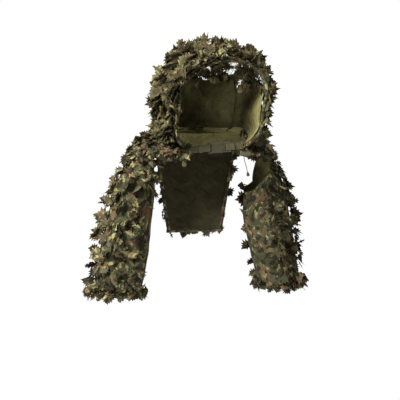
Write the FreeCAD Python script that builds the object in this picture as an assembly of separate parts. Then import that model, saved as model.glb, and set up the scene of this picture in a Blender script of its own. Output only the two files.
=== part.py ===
import FreeCAD, Part
import math
import os

# Ghillie suit: a leaf-covered camouflage hood, yoke and pair of sleeves, worn over the shoulders and
# closed by a chest strap with a side-release buckle.
#
# Frame: +Z up, the wearer faces -Y, the wearer's right arm is at -X. The origin is at the centre of the
# base of the neck. All sizes are in millimetres.

V = FreeCAD.Vector

# ---------------------------------------------------------------- driving dimensions

CLOTH = 3.0             # one cloth panel with its lining and seam allowances
GAP = 0.5               # clear gap between neighbouring soft pieces
LEAF_LAYER = 17.0       # how far the sewn leaves stand off the cloth
LEAF_STANDOFF = 3.2     # clearance between the cloth and the base of the leaf rows
LEAF_LIFT = 18.0        # bare cloth between the neckline and the hood's leaf rows
STRIP_GAP = 7.0         # bare cloth between two rows of leaves

# Hood: a tunnel along Y with rounded-square sections, closed by a dome at the back.
HOOD_RIM_Y = -205.0
HOOD_WIDEST_Y = -70.0
HOOD_BACK_Y = 108.0
HOOD_HALF_WIDTH = 193.0
HOOD_HALF_HEIGHT = 184.0
HOOD_CENTRE_Z = 181.0
RIM_HALF_WIDTH = 172.0
RIM_HALF_HEIGHT = 160.0
RIM_CENTRE_Z = 152.0
HOOD_SQUARENESS = 2.5   # 2 is an ellipse
CROWN_HALF_ANGLE = 80.0 # half angle of the net over the crown
BACK_NET_Z = 262.0      # the dome is net above this height and cloth below it
DOME_START_Y = 40.0
DOME_END = 0.985        # how far towards the tip of the dome its last section stands

# Neckline: level round the nape, falling to the chest in front, then rising to the rim.
NECK_Z = 78.0
NECK_LEVEL_Y = -5.0
CHEST_Y = -115.0
CHEST_Z = 20.0
RIM_CORNER_Z = 130.0

# Rim channel and the cord inside it.
CHANNEL_RADIUS = 6.0
CHANNEL_BORE = 3.0
CORD_RADIUS = 1.25
BELL_RADIUS = 6.0
BELL_LENGTH = 15.0

# Yoke: an arch over each shoulder, from YOKE_INNER out to YOKE_OUTER along X.
YOKE_INNER = 100.0
YOKE_SEAM = 176.0
YOKE_OUTER = 240.0
YOKE_RIDGE_Z = 96.0
YOKE_RIDGE_DROP = 72.0
YOKE_EDGE_Z = -6.0
YOKE_EDGE_DROP = 34.0
YOKE_FRONT_Y = -108.0
YOKE_FRONT_TAPER = 48.0
YOKE_BACK_Y = 104.0
YOKE_BACK_TAPER = 24.0
YOKE_BACK_TOP_Z = 64.0

# Sleeves: a slanted tube that flares to the cuff.
SLEEVE_AXIS_X = 219.5   # half distance of the two sleeve centres at Z = 0
SLEEVE_SPLAY = 0.192    # outward shift per unit of height going down
SLEEVE_AXIS_Y = 12.0
SLEEVE_BACKSET = 0.06   # rearward shift per unit of height going down
CUFF_Z = -500.0
CUFF_RADIUS = 87.0
CUFF_DEPTH_RADIUS = 95.0
SHOULDER_TUCK = 51.0    # how much narrower the sleeve is at the shoulder
SHOULDER_DEPTH_TUCK = 30.0
TUCK_LENGTH = 100.0
CAP_Z = -4.0
CAP_ANGLE = 52.0        # half angle of the sleeve's cap at its top
ARMPIT_Z = -118.0
SIDE_SEAM_ANGLE = 96.0
FRINGE_LENGTH = 42.0

# Back panel: the tail that hangs behind the torso.
TAIL_TOP_Z = -26.0
TAIL_BOTTOM_Z = -290.0
TAIL_TOP_HALF = 152.0
TAIL_BOTTOM_HALF = 108.0
TAIL_Y = 104.0
TAIL_CURVE = 20.0

# Chest strap and buckle. The strap's own frame has x along the strap from the socket's mouth towards
# the wearer's left, y towards the chest and z up.
STRAP_MOUTH = V(28.0, -116.0, 9.5)
STRAP_TILT = 4.0
WEBBING_WIDTH = 25.0
WEBBING = 1.6
STRAP_RIGHT_END = -138.0
STRAP_LEFT_END = 82.0
ANCHOR_LENGTH = 12.0
TAIL_STRIP_Y = 112.0    # how far in front of the neck the strap's tail hangs
BUCKLE_HEIGHT = 36.0
BUCKLE_THICK = 12.0
SOCKET_LENGTH = 51.0
SOCKET_CAVITY = 36.0
RING_LENGTH = 12.0      # closed ring of the socket between its mouth and its side windows
WINDOW_LENGTH = 17.0
CAVITY_HALF = 15.2
CAVITY_THICK = 7.0
SLOT_HALF = 13.5
BAR_THICK = 4.8
PLUG_BASE = 9.0
PLUG_END = 32.0
ARM_THICK = 5.4
ARM_TIP = 27.0
ARM_PIVOT_Z = 10.5
KNUCKLE_RADIUS = 2.0


# ---------------------------------------------------------------- helpers

def save(name, shape):
    """Write one sub-part and report its volume, so that a bad solid is noticed."""
    shape.exportStep("parts/" + name + ".step")
    solids = len(shape.Solids)
    print(f"{name}: {solids} solid(s), {shape.Volume / 1000.0:.1f} cm3, valid {shape.isValid()}")


def spread(first, last, count):
    """Evenly spaced values from first to last, both included."""
    return [first + (last - first) * i / (count - 1) for i in range(count)]


def signed_power(value, power):
    return math.copysign(abs(value) ** power, value)


def smooth_edge(points):
    curve = Part.BSplineCurve()
    curve.interpolate(points)
    return curve.toShape()


def straight_edge(start, end):
    return Part.LineSegment(start, end).toShape()


def sheet_solid(point, limits, stations, inside, outside, count=9):
    """Closed solid of a curved sheet.

    point(u, v, depth) is a place on the garment's surface, limits(v) the range of u at a station,
    and inside and outside are the depths of the sheet's two faces.
    """
    wires = []
    for v in stations:
        steps = spread(*limits(v), count)
        outer = [point(u, v, outside) for u in steps]
        inner = [point(u, v, inside) for u in reversed(steps)]
        edges = [smooth_edge(outer), straight_edge(outer[-1], inner[0]),
                 smooth_edge(inner), straight_edge(inner[-1], outer[0])]
        wires.append(Part.Wire(edges))
    return Part.makeLoft(wires, True)


def strips(point, limits, first, last, rows, outside=LEAF_LAYER):
    """Rows of sewn leaves as raised bands across the stations from first to last."""
    pitch = (last - first) / rows
    width = pitch - math.copysign(STRIP_GAP, pitch)
    bands = []
    for row in range(rows):
        start = first + pitch * row
        stations = spread(start, start + width, 4)
        bands.append(sheet_solid(point, limits, stations, LEAF_STANDOFF, outside, 25))
    return Part.makeCompound(bands)


def rounded_path(points):
    """Straight runs through the points joined by tangent arcs, and the arcs' radii."""
    edges = []
    radii = []
    start = points[0]
    for before, corner, after in zip(points, points[1:], points[2:]):
        back = before - corner
        ahead = after - corner
        turn = math.pi - back.getAngle(ahead)
        setback = 0.45 * min(back.Length, ahead.Length)
        radius = setback / math.tan(turn / 2.0)
        arc_start = corner + V(back).normalize() * setback
        arc_end = corner + V(ahead).normalize() * setback
        bisector = V(V(back).normalize() + V(ahead).normalize()).normalize()
        centre_distance = math.hypot(radius, setback)
        arc_middle = corner + bisector * (centre_distance - radius)
        edges.append(straight_edge(start, arc_start))
        edges.append(Part.Arc(arc_start, arc_middle, arc_end).toShape())
        start = arc_end
        radii.append(radius)
    edges.append(straight_edge(start, points[-1]))
    return Part.Wire(edges), radii


def tube(points, radius):
    """Round solid along a rounded path."""
    path, radii = rounded_path(points)
    first = points[1] - points[0]
    circle = Part.Wire([Part.Circle(points[0], first, radius).toShape()])
    solid = path.makePipeShell([circle], True, False)
    expected = math.pi * radius ** 2 * path.Length
    print(f"tube r={radius}: length {path.Length:.1f}, radii {min(radii):.1f} to {max(radii):.1f}, "
          f"volume {solid.Volume / expected:.4f} of section x length")
    return solid


def box(x0, x1, y0, y1, z0, z1):
    return Part.makeBox(x1 - x0, y1 - y0, z1 - z0, V(x0, y0, z0))


def prism_along_y(outline, y0, y1):
    """Flat outline in X and Z, as (x, z) pairs, extruded from y0 to y1."""
    points = [V(x, y0, z) for x, z in outline]
    face = Part.Face(Part.makePolygon(points + points[:1]))
    return face.extrude(V(0, y1 - y0, 0))


# ---------------------------------------------------------------- hood

def hood_station(y):
    """Half width, half height and centre height of the hood's section at y."""
    if y < HOOD_WIDEST_Y:
        t = ((HOOD_WIDEST_Y - y) / (HOOD_WIDEST_Y - HOOD_RIM_Y)) ** 2
        return (HOOD_HALF_WIDTH + (RIM_HALF_WIDTH - HOOD_HALF_WIDTH) * t,
                HOOD_HALF_HEIGHT + (RIM_HALF_HEIGHT - HOOD_HALF_HEIGHT) * t,
                HOOD_CENTRE_Z + (RIM_CENTRE_Z - HOOD_CENTRE_Z) * t)
    t = (y - HOOD_WIDEST_Y) / (HOOD_BACK_Y - HOOD_WIDEST_Y)
    shrink = math.sqrt(1.0 - t ** 2.2)
    return HOOD_HALF_WIDTH * shrink, HOOD_HALF_HEIGHT * shrink, HOOD_CENTRE_Z


def hood_point(angle, y, depth):
    """Place on the hood; the angle in degrees is 0 at the crown and positive to the wearer's left."""
    half_width, half_height, centre = hood_station(y)
    power = 2.0 / HOOD_SQUARENESS
    turn = math.radians(angle)
    x = (half_width + depth) * signed_power(math.sin(turn), power)
    z = centre + (half_height + depth) * signed_power(math.cos(turn), power)
    return V(x, y, z)


def neckline_z(y):
    """Height of the hood's lower edge at y."""
    if y >= NECK_LEVEL_Y:
        return NECK_Z
    if y >= CHEST_Y:
        fall = (NECK_LEVEL_Y - y) / (NECK_LEVEL_Y - CHEST_Y)
        return NECK_Z + (CHEST_Z - NECK_Z) * fall ** 1.3
    rise = (CHEST_Y - y) / (CHEST_Y - HOOD_RIM_Y)
    return CHEST_Z + (RIM_CORNER_Z - CHEST_Z) * rise


def hood_edge_angle(y, lift=0.0):
    """Angle at which the hood's section comes down to the neckline, or to a lift above it."""
    half_height, centre = hood_station(y)[1:]
    drop = (centre - neckline_z(y) - lift) / half_height
    return math.degrees(math.acos(-signed_power(drop, HOOD_SQUARENESS / 2.0)))


def hood_stations():
    return spread(HOOD_RIM_Y, CHEST_Y, 4) + spread(CHEST_Y, DOME_START_Y, 6)[1:]


def hood_crown():
    def limits(y):
        return -CROWN_HALF_ANGLE, CROWN_HALF_ANGLE
    return sheet_solid(hood_point, limits, spread(HOOD_RIM_Y, DOME_START_Y, 7), -CLOTH, 0.0)


def hood_side(side):
    def limits(y):
        return side * (CROWN_HALF_ANGLE + 0.2), side * hood_edge_angle(y)
    return sheet_solid(hood_point, limits, hood_stations(), -CLOTH, 0.0)


def dome_block(depth):
    """Solid dome behind the tunnel, out to the given depth."""
    wires = []
    tip = HOOD_BACK_Y + depth
    scale = (tip - HOOD_WIDEST_Y) / (HOOD_BACK_Y - HOOD_WIDEST_Y)
    for share in (0.0, 0.35, 0.65, 0.85, 0.95, 1.0):
        y = DOME_START_Y + GAP + (DOME_END * (HOOD_BACK_Y - DOME_START_Y)) * share
        points = [hood_point(angle, y, depth) for angle in spread(-180.0, 165.0, 24)]
        spot = HOOD_WIDEST_Y + (y - HOOD_WIDEST_Y) * scale
        place = DOME_START_Y + GAP + (spot - DOME_START_Y - GAP) * share ** 0.2 if share else y
        curve = Part.BSplineCurve()
        curve.interpolate([V(p.x, place, p.z) for p in points], PeriodicFlag=True)
        wires.append(Part.Wire([curve.toShape()]))
    return Part.makeLoft(wires, True)


def hood_back(z0, z1):
    """The dome's skin between two heights."""
    shell = dome_block(0.0).cut(dome_block(-CLOTH))
    return shell.common(box(-300, 300, 0, 300, z0, z1))


def hood_back_leaves():
    """Level rows of leaves over the dome."""
    layer = dome_block(LEAF_LAYER).cut(dome_block(LEAF_STANDOFF))
    rows = 5
    bottom = NECK_Z + LEAF_LIFT
    top = HOOD_CENTRE_Z + HOOD_HALF_HEIGHT + LEAF_LAYER
    pitch = (top - bottom) / rows
    bands = []
    for row in range(rows):
        low = bottom + pitch * row
        slab = box(-300, 300, DOME_START_Y + 2.0, 300, low, low + pitch - STRIP_GAP)
        bands.extend(layer.common(slab).Solids)
    return Part.makeCompound(bands)


def whole_hoop(y):
    edge = hood_edge_angle(y, LEAF_LIFT)
    return -edge, edge


def rim_points():
    """Places along the middle of the rim channel, from the wearer's right end to the left end."""
    ahead = CHANNEL_RADIUS + 4.5
    slope = math.atan2(RIM_CORNER_Z - CHEST_Z, CHEST_Y - HOOD_RIM_Y)
    down_and_ahead = V(0, -ahead * math.sin(slope), -ahead * math.cos(slope))
    upper = hood_edge_angle(HOOD_RIM_Y)
    left = [hood_point(angle, HOOD_RIM_Y, -CLOTH / 2.0) for angle in spread(14.0, upper, 5)]
    for y in spread(HOOD_RIM_Y, CHEST_Y, 4)[1:]:
        left.append(hood_point(hood_edge_angle(y), y, -CLOTH / 2.0))
    left = [p - V(0, ahead, 0) for p in left[:4]] + [p + down_and_ahead for p in left[4:]]
    right = [V(-p.x, p.y, p.z) for p in reversed(left)]
    return right + left


def rim_channel():
    return tube(rim_points(), CHANNEL_RADIUS).cut(tube(rim_points(), CHANNEL_BORE))


# ---------------------------------------------------------------- yoke and back panel

def outward_share(x, power):
    """0 at the yoke's inner edge and 1 at the shoulder seam."""
    return (max(abs(x) - YOKE_INNER, 0.0) / (YOKE_OUTER - YOKE_INNER)) ** power


def yoke_arch(x):
    """Centre Y, half depth, edge height and rise of the yoke's arch at x."""
    front = YOKE_FRONT_Y + YOKE_FRONT_TAPER * outward_share(x, 1.5)
    back = YOKE_BACK_Y - YOKE_BACK_TAPER * outward_share(x, 1.5)
    edge = YOKE_EDGE_Z - YOKE_EDGE_DROP * outward_share(x, 1.5)
    ridge = YOKE_RIDGE_Z - YOKE_RIDGE_DROP * outward_share(x, 1.6)
    return (front + back) / 2.0, (back - front) / 2.0, edge, ridge - edge


def yoke_point(angle, x, depth):
    """Place on the yoke; the angle is 0 at the ridge, -90 at the front edge and 90 at the back edge."""
    centre, half_depth, edge, rise = yoke_arch(x)
    turn = math.radians(angle)
    return V(x, centre + (half_depth + depth) * math.sin(turn), edge + (rise + depth) * math.cos(turn))


def yoke_angle(x, z):
    """Angle at which the arch at x reaches the height z."""
    edge, rise = yoke_arch(x)[2:]
    return math.degrees(math.acos((z - edge) / rise))


def front_top(x):
    """Height of the front panel's upper edge, which climbs outwards along the neckline."""
    return 8.0 + 50.0 * (abs(x) - YOKE_INNER) / (YOKE_SEAM - YOKE_INNER)


def front_limits(x):
    return -90.0, -yoke_angle(x, front_top(x))


def front_leaf_limits(x):
    return -90.0, -yoke_angle(x, front_top(x) - 24.0)


def shoulder_limits(x):
    return -90.0, 90.0


def back_limits(x):
    return yoke_angle(x, YOKE_BACK_TOP_Z), 90.0


def front_panel(side):
    return sheet_solid(yoke_point, front_limits, spread(side * YOKE_INNER, side * YOKE_SEAM, 4), -CLOTH, 0.0)


def shoulder_panel(side):
    stations = spread(side * (YOKE_SEAM + GAP), side * YOKE_OUTER, 4)
    return sheet_solid(yoke_point, shoulder_limits, stations, -CLOTH, 0.0)


def back_yoke():
    return sheet_solid(yoke_point, back_limits, spread(-YOKE_SEAM, YOKE_SEAM, 9), -CLOTH, 0.0)


def tail_point(x, z, depth):
    """Place on the back panel, which curves forward towards its sides."""
    return V(x, TAIL_Y - TAIL_CURVE * (x / TAIL_TOP_HALF) ** 2 + depth, z)


def tail_limits(z):
    share = (z - TAIL_TOP_Z) / (TAIL_BOTTOM_Z - TAIL_TOP_Z)
    half = TAIL_TOP_HALF + (TAIL_BOTTOM_HALF - TAIL_TOP_HALF) * share
    return -half, half


def tail(z0, z1, inside, outside):
    return sheet_solid(tail_point, tail_limits, spread(z0, z1, 4), inside, outside)


def neck_tape():
    """Seam tape round the nape, where the hood is sewn to the yoke."""
    def limits(z):
        return -62.0, 62.0

    def point(angle, z, depth):
        turn = math.radians(angle)
        return V((128.0 + depth) * math.sin(turn), -46.0 + (126.0 + depth) * math.cos(turn), z)
    return sheet_solid(point, limits, spread(YOKE_BACK_TOP_Z + GAP, NECK_Z - GAP, 2), -2.0, 0.0)


# ---------------------------------------------------------------- sleeves

def sleeve_point(side):
    """Surface function of one sleeve; the angle is 0 at the outside and positive to the back."""
    def point(angle, z, depth):
        tuck = math.exp(min(z, 0.0) / TUCK_LENGTH)
        across = CUFF_RADIUS - SHOULDER_TUCK * tuck + depth
        along = CUFF_DEPTH_RADIUS - SHOULDER_DEPTH_TUCK * tuck + depth
        turn = math.radians(angle)
        x = SLEEVE_AXIS_X - SLEEVE_SPLAY * z + across * math.cos(turn)
        return V(side * x, SLEEVE_AXIS_Y - SLEEVE_BACKSET * z + along * math.sin(turn), z)
    return point


def outer_limits(z):
    """The outer panel narrows to a cap above the armpit, where the front and back stay open."""
    share = min(1.0, (CAP_Z - z) / (CAP_Z - ARMPIT_Z))
    half = CAP_ANGLE + (SIDE_SEAM_ANGLE - CAP_ANGLE) * math.sin(share * math.pi / 2.0)
    return -half, half


def inner_limits(z):
    return SIDE_SEAM_ANGLE + 1.0, 359.0 - SIDE_SEAM_ANGLE


def whole_sleeve_limits(z):
    if z > ARMPIT_Z:
        return outer_limits(z)
    return -172.0, 172.0


def sleeve_outer(side):
    stations = spread(CAP_Z, ARMPIT_Z, 5) + spread(ARMPIT_Z, CUFF_Z, 5)[1:]
    return sheet_solid(sleeve_point(side), outer_limits, stations, -CLOTH, 0.0)


def sleeve_inner(side):
    return sheet_solid(sleeve_point(side), inner_limits, spread(ARMPIT_Z, CUFF_Z, 5), -CLOTH, 0.0)


def ring(side, z0, z1, inside, outside):
    """Closed band round a sleeve."""
    point = sleeve_point(side)
    blocks = []
    for depth in (outside, inside):
        wires = []
        for z in (z0, z1):
            curve = Part.BSplineCurve()
            curve.interpolate([point(angle, z, depth) for angle in spread(0.0, 330.0, 12)],
                              PeriodicFlag=True)
            wires.append(Part.Wire([curve.toShape()]))
        blocks.append(Part.makeLoft(wires, True))
    return blocks[0].cut(blocks[1])


# ---------------------------------------------------------------- chest strap and buckle

def on_chest(shape):
    """Move a shape from the strap's own frame to its place on the chest."""
    placed = shape.copy()
    placed.rotate(V(0, 0, 0), V(0, 1, 0), -STRAP_TILT)
    placed.translate(STRAP_MOUTH)
    return placed


def rounded(shape, radius, along):
    """Round the edges that run along one axis of the strap's frame."""
    edges = []
    for edge in shape.Edges:
        direction = edge.lastVertex().Point - edge.firstVertex().Point
        if direction.Length and abs(direction.normalize().dot(along)) > 0.999:
            edges.append(edge)
    return shape.makeFillet(radius, edges)


def socket():
    half = BUCKLE_HEIGHT / 2.0
    thick = BUCKLE_THICK / 2.0
    body = rounded(box(-SOCKET_LENGTH, 0, -thick, thick, -half, half), 3.0, V(1, 0, 0))
    body = body.cut(box(-SOCKET_CAVITY, 1, -CAVITY_THICK / 2, CAVITY_THICK / 2, -CAVITY_HALF, CAVITY_HALF))
    window = -RING_LENGTH - WINDOW_LENGTH
    body = body.cut(box(window, -RING_LENGTH, -CAVITY_THICK / 2, CAVITY_THICK / 2, -half - 1, half + 1))
    body = body.cut(box(-47, -41, -thick - 1, thick + 1, -SLOT_HALF, SLOT_HALF))
    for y0, y1 in ((-thick - 1, -BAR_THICK / 2), (BAR_THICK / 2, thick + 1)):
        body = body.cut(box(-SOCKET_LENGTH - 1, -47, y0, y1, -SLOT_HALF, SLOT_HALF))
    lip = rounded(box(-SOCKET_LENGTH, -SOCKET_LENGTH + 3, -thick, thick, half - 1, half + 2), 0.8, V(0, 1, 0))
    mirrored = lip.mirror(V(0, 0, 0), V(0, 0, 1))
    return body.fuse([lip, mirrored]).removeSplitter()


def plug():
    """Base, ladder frame with two bars and the central guide tongue, less the seats of the two arms."""
    half = BUCKLE_HEIGHT / 2.0
    body = rounded(box(1.2, PLUG_END, -5, 5, -half, half), 2.5, V(1, 0, 0))
    body = body.cut(box(PLUG_BASE, PLUG_END - 4, -6, 6, -SLOT_HALF, SLOT_HALF))
    for y0, y1 in ((-6, -BAR_THICK / 2), (BAR_THICK / 2, 6)):
        body = body.cut(box(PLUG_END - 5, PLUG_END + 1, y0, y1, -SLOT_HALF, SLOT_HALF))
    bar = box(16, 20, -BAR_THICK / 2, BAR_THICK / 2, -SLOT_HALF - 1, SLOT_HALF + 1)
    tongue = box(-22, 2, -2.4, 2.4, -3.2, 3.2)
    body = body.fuse([bar, tongue]).removeSplitter()
    for side in (-1, 1):
        seat = Part.makeCylinder(KNUCKLE_RADIUS + 0.25, 2 * 5.4, V(3.6, -5.4, side * ARM_PIVOT_Z), V(0, 1, 0))
        low, high = sorted((side * (ARM_PIVOT_Z - 2.9), side * (ARM_PIVOT_Z + 1.9)))
        mouth = box(0, 3.6, -5.4, 5.4, low, high)
        body = body.cut(seat).cut(mouth)
    return body


def arm(side):
    """One sprung arm: a round knuckle, a slim beam, then a ramp up to the finger pad at its tip."""
    inner = 8.6
    outline = [(3.6, inner + 0.4), (-ARM_TIP + 2, inner + 1.6), (-ARM_TIP, inner + 4.0),
               (-ARM_TIP + 1.5, 16.0), (-RING_LENGTH - 6.0, 16.0), (-RING_LENGTH, 14.9),
               (-3.0, 13.2), (0.6, 12.2), (3.6, 12.2)]
    beam = prism_along_y(outline, -ARM_THICK / 2, ARM_THICK / 2)
    knuckle = Part.makeCylinder(KNUCKLE_RADIUS, ARM_THICK, V(3.6, -ARM_THICK / 2, ARM_PIVOT_Z), V(0, 1, 0))
    solid = beam.fuse(knuckle).removeSplitter()
    if side < 0:
        solid = solid.mirror(V(0, 0, 0), V(0, 0, 1))
    return solid


def webbing_loop(bar_x, long_end, short_end):
    """Webbing doubled round a bar at bar_x: the chest-side layer runs to long_end, the other to short_end."""
    inner = BAR_THICK / 2 + 0.4
    outer = inner + WEBBING
    way = math.copysign(1.0, long_end - bar_x)

    def p(x, y):
        return V(x, y, -WEBBING_WIDTH / 2)

    def turn(radius):
        return Part.Arc(p(bar_x, radius), p(bar_x - way * radius, 0), p(bar_x, -radius)).toShape()

    edges = [straight_edge(p(long_end, outer), p(bar_x, outer)), turn(outer),
             straight_edge(p(bar_x, -outer), p(short_end, -outer)),
             straight_edge(p(short_end, -outer), p(short_end, -inner)),
             straight_edge(p(short_end, -inner), p(bar_x, -inner)), turn(inner),
             straight_edge(p(bar_x, inner), p(long_end, inner)),
             straight_edge(p(long_end, inner), p(long_end, outer))]
    face = Part.Face(Part.Wire(Part.__sortEdges__(edges)))
    return face.extrude(V(0, 0, WEBBING_WIDTH))


def strap_run(x0, x1):
    """A flat run of single webbing behind the buckle's bars."""
    inner = BAR_THICK / 2 + 0.4
    half = WEBBING_WIDTH / 2
    return box(x0, x1, inner, inner + WEBBING, -half, half)


def keeper(x):
    """Elastic band round both layers of webbing."""
    half = WEBBING_WIDTH / 2 + 0.4
    deep = BAR_THICK / 2 + 0.4 + WEBBING + 0.4
    outside = box(x, x + 9.0, -deep - 1.2, deep + 1.2, -half - 1.2, half + 1.2)
    return outside.cut(box(x - 1, x + 10.0, -deep, deep, -half, half))


def anchor_patch(x0):
    """Patch that sews the webbing to the front panel."""
    half = WEBBING_WIDTH / 2 + 3.0
    return box(x0, x0 + ANCHOR_LENGTH, 4.8, 6.6, -half, half)


def strap_tail():
    """Round-ended tail of spare webbing that hangs from the right anchor."""
    strip = box(-118.0, -102.0, -TAIL_STRIP_Y - WEBBING, -TAIL_STRIP_Y, -58.0, -16.0)
    return rounded(strip, 6.0, V(0, 1, 0))


# ---------------------------------------------------------------- hanging cord

CORD_ROUTE = [V(106.0, -126.0, -22.0), V(107.5, -127.0, -36.0), V(112.5, -127.5, -50.0),
              V(116.5, -127.0, -64.0), V(120.0, -126.0, -77.0)]


def bell_end():
    """Bell-shaped cord end, turned about the cord's last run."""
    r = BELL_RADIUS
    outline = [V(0, 0, 0), V(0.35 * r, 0, 0), V(0.55 * r, 0, -0.2 * BELL_LENGTH),
               V(r, 0, -0.82 * BELL_LENGTH), V(0.8 * r, 0, -BELL_LENGTH), V(0, 0, -BELL_LENGTH)]
    face = Part.Face(Part.makePolygon(outline + outline[:1]))
    bell = face.revolve(V(0, 0, 0), V(0, 0, 1), 360)
    direction = CORD_ROUTE[-1] - CORD_ROUTE[-2]
    bell.Placement = FreeCAD.Placement(CORD_ROUTE[-1], FreeCAD.Rotation(V(0, 0, -1), direction))
    return bell


def cord_keeper():
    """Flat webbing loop on the left front panel that the drawcord hangs from."""
    outer = box(92.0, 132.0, -129.0, -122.8, -21.5, -6.0)
    return outer.cut(box(96.0, 128.0, -127.4, -124.4, -22.5, -5.0))


# ---------------------------------------------------------------- build

def build_hood():
    save("hood_crown_net", hood_crown())
    save("hood_right_panel", hood_side(-1))
    save("hood_left_panel", hood_side(1))
    save("hood_back_panel", hood_back(NECK_Z, BACK_NET_Z))
    save("hood_back_net", hood_back(BACK_NET_Z + GAP, 400.0))
    save("hood_rim_channel", rim_channel())
    save("hood_drawcord", tube(rim_points(), CORD_RADIUS))
    save("hood_brim_leaf_strip", strips(hood_point, whole_hoop, HOOD_RIM_Y + 3.0, HOOD_RIM_Y + 45.0, 1, 21.0))
    save("hood_crown_leaf_strips", strips(hood_point, whole_hoop, HOOD_RIM_Y + 45.0, DOME_START_Y, 5))
    save("hood_back_leaf_strips", hood_back_leaves())


def build_yoke():
    for side, name in ((-1, "right"), (1, "left")):
        save(name + "_front_panel", front_panel(side))
        save(name + "_shoulder_panel", shoulder_panel(side))
        inner = side * (YOKE_INNER + 28.0)
        save(name + "_front_leaf_strips",
             strips(yoke_point, front_leaf_limits, inner, side * YOKE_SEAM, 2, 13.0))
        save(name + "_shoulder_leaf_strips",
             strips(yoke_point, shoulder_limits, side * (YOKE_SEAM + 4.0), side * YOKE_OUTER, 2, 13.0))
    save("back_yoke_panel", back_yoke())
    save("neck_seam_tape", neck_tape())
    save("back_panel", tail(TAIL_TOP_Z, TAIL_BOTTOM_Z, -CLOTH, 0.0))
    save("back_panel_hem", tail(TAIL_BOTTOM_Z - GAP, TAIL_BOTTOM_Z - 12.0, -CLOTH - 1.0, 1.0))
    save("back_yoke_leaf_strips",
         strips(yoke_point, lambda x: (yoke_angle(x, YOKE_BACK_TOP_Z - 12.0), 90.0), -168.0, 168.0, 5, 15.0))
    save("back_panel_leaf_strips", strips(tail_point, tail_limits, TAIL_TOP_Z - 4.0, TAIL_BOTTOM_Z, 5, 15.0))


def build_sleeves():
    for side, name in ((-1, "right"), (1, "left")):
        point = sleeve_point(side)
        save(name + "_sleeve_outer_panel", sleeve_outer(side))
        save(name + "_sleeve_underarm_panel", sleeve_inner(side))
        save(name + "_cuff_hem", ring(side, CUFF_Z - GAP, CUFF_Z - 14.0, -CLOTH - 1.0, 1.0))
        save(name + "_sleeve_cap_leaf_strips",
             strips(point, outer_limits, CAP_Z - 6.0, ARMPIT_Z - 1.0, 2))
        save(name + "_sleeve_leaf_strips",
             strips(point, whole_sleeve_limits, ARMPIT_Z - 4.0, CUFF_Z + 2.0, 7))
        save(name + "_cuff_leaf_fringe",
             ring(side, CUFF_Z - 1.0, CUFF_Z - FRINGE_LENGTH, 1.0 + GAP, LEAF_LAYER - 3.0))


def build_strap():
    save("buckle_socket", on_chest(socket()))
    save("buckle_plug", on_chest(plug()))
    save("buckle_upper_arm", on_chest(arm(1)))
    save("buckle_lower_arm", on_chest(arm(-1)))
    save("strap_right_webbing", on_chest(webbing_loop(-47.0, STRAP_RIGHT_END, -86.0)))
    save("strap_left_loop", on_chest(webbing_loop(16.0, 33.5, 46.0)))
    save("strap_left_webbing", on_chest(strap_run(34.0, STRAP_LEFT_END)))
    save("strap_keeper_band", on_chest(keeper(-84.0)))
    save("strap_right_anchor", on_chest(anchor_patch(STRAP_RIGHT_END)))
    save("strap_left_anchor", on_chest(anchor_patch(STRAP_LEFT_END - ANCHOR_LENGTH)))
    save("strap_tail", strap_tail())


def build_cord():
    save("drawcord_end", tube(CORD_ROUTE, CORD_RADIUS))
    save("drawcord_bell", bell_end())
    save("cord_keeper_loop", cord_keeper())


os.makedirs("parts", exist_ok=True)
build_hood()
build_yoke()
build_sleeves()
build_strap()
build_cord()
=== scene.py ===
import math
import random

import bpy
import numpy as np
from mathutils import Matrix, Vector, noise


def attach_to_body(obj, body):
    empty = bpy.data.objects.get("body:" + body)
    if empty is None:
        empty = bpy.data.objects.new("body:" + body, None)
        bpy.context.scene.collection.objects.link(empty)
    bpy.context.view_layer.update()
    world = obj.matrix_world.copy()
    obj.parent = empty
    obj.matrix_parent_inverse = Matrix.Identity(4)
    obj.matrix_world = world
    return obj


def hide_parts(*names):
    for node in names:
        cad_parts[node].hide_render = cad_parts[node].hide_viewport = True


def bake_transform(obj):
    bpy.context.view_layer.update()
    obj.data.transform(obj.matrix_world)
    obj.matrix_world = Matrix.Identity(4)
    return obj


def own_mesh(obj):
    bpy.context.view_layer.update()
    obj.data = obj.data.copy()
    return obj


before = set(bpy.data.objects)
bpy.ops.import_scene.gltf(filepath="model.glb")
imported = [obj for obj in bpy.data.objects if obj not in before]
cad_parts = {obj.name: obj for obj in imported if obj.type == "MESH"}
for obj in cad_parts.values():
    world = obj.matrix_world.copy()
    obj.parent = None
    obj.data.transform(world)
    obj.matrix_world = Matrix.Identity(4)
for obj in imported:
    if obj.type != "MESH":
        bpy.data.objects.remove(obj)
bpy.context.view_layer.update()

# Ghillie suit. Metres; +Z is up, the wearer faces -Y and the wearer's left is at +X.
V = Vector
SHEET = 0.0011          # thickness of the cloth
LEAF = 0.0006           # thickness of a cut leaf
YARN_RADIUS = 0.00062
MESH_STEP = 0.0125      # a diamond of the net
CORD_DIAMETER = 0.0025
CHANNEL_RADIUS = 0.006
RIM_INSET = -0.0015     # the rim's seam lies this deep in the hood's surface
WEB_LAYER = 0.0036      # from the strap's middle to one layer of its doubled webbing
WEB, WEB_THICK = 0.025, 0.0016
LEFT_SLEEVE_PAINTED_SHADE = 0.70       # painted shade: the left sleeve's cloth and leaves are darkened all over
LEAF_LOW, LEAF_HIGH = (-0.450, -0.239, -0.570), (0.450, 0.170, 0.417)   # leaves stay between these corners

# ------------------------------------------- the garment's surfaces: the CAD's, with the soft hood slumped

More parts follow.
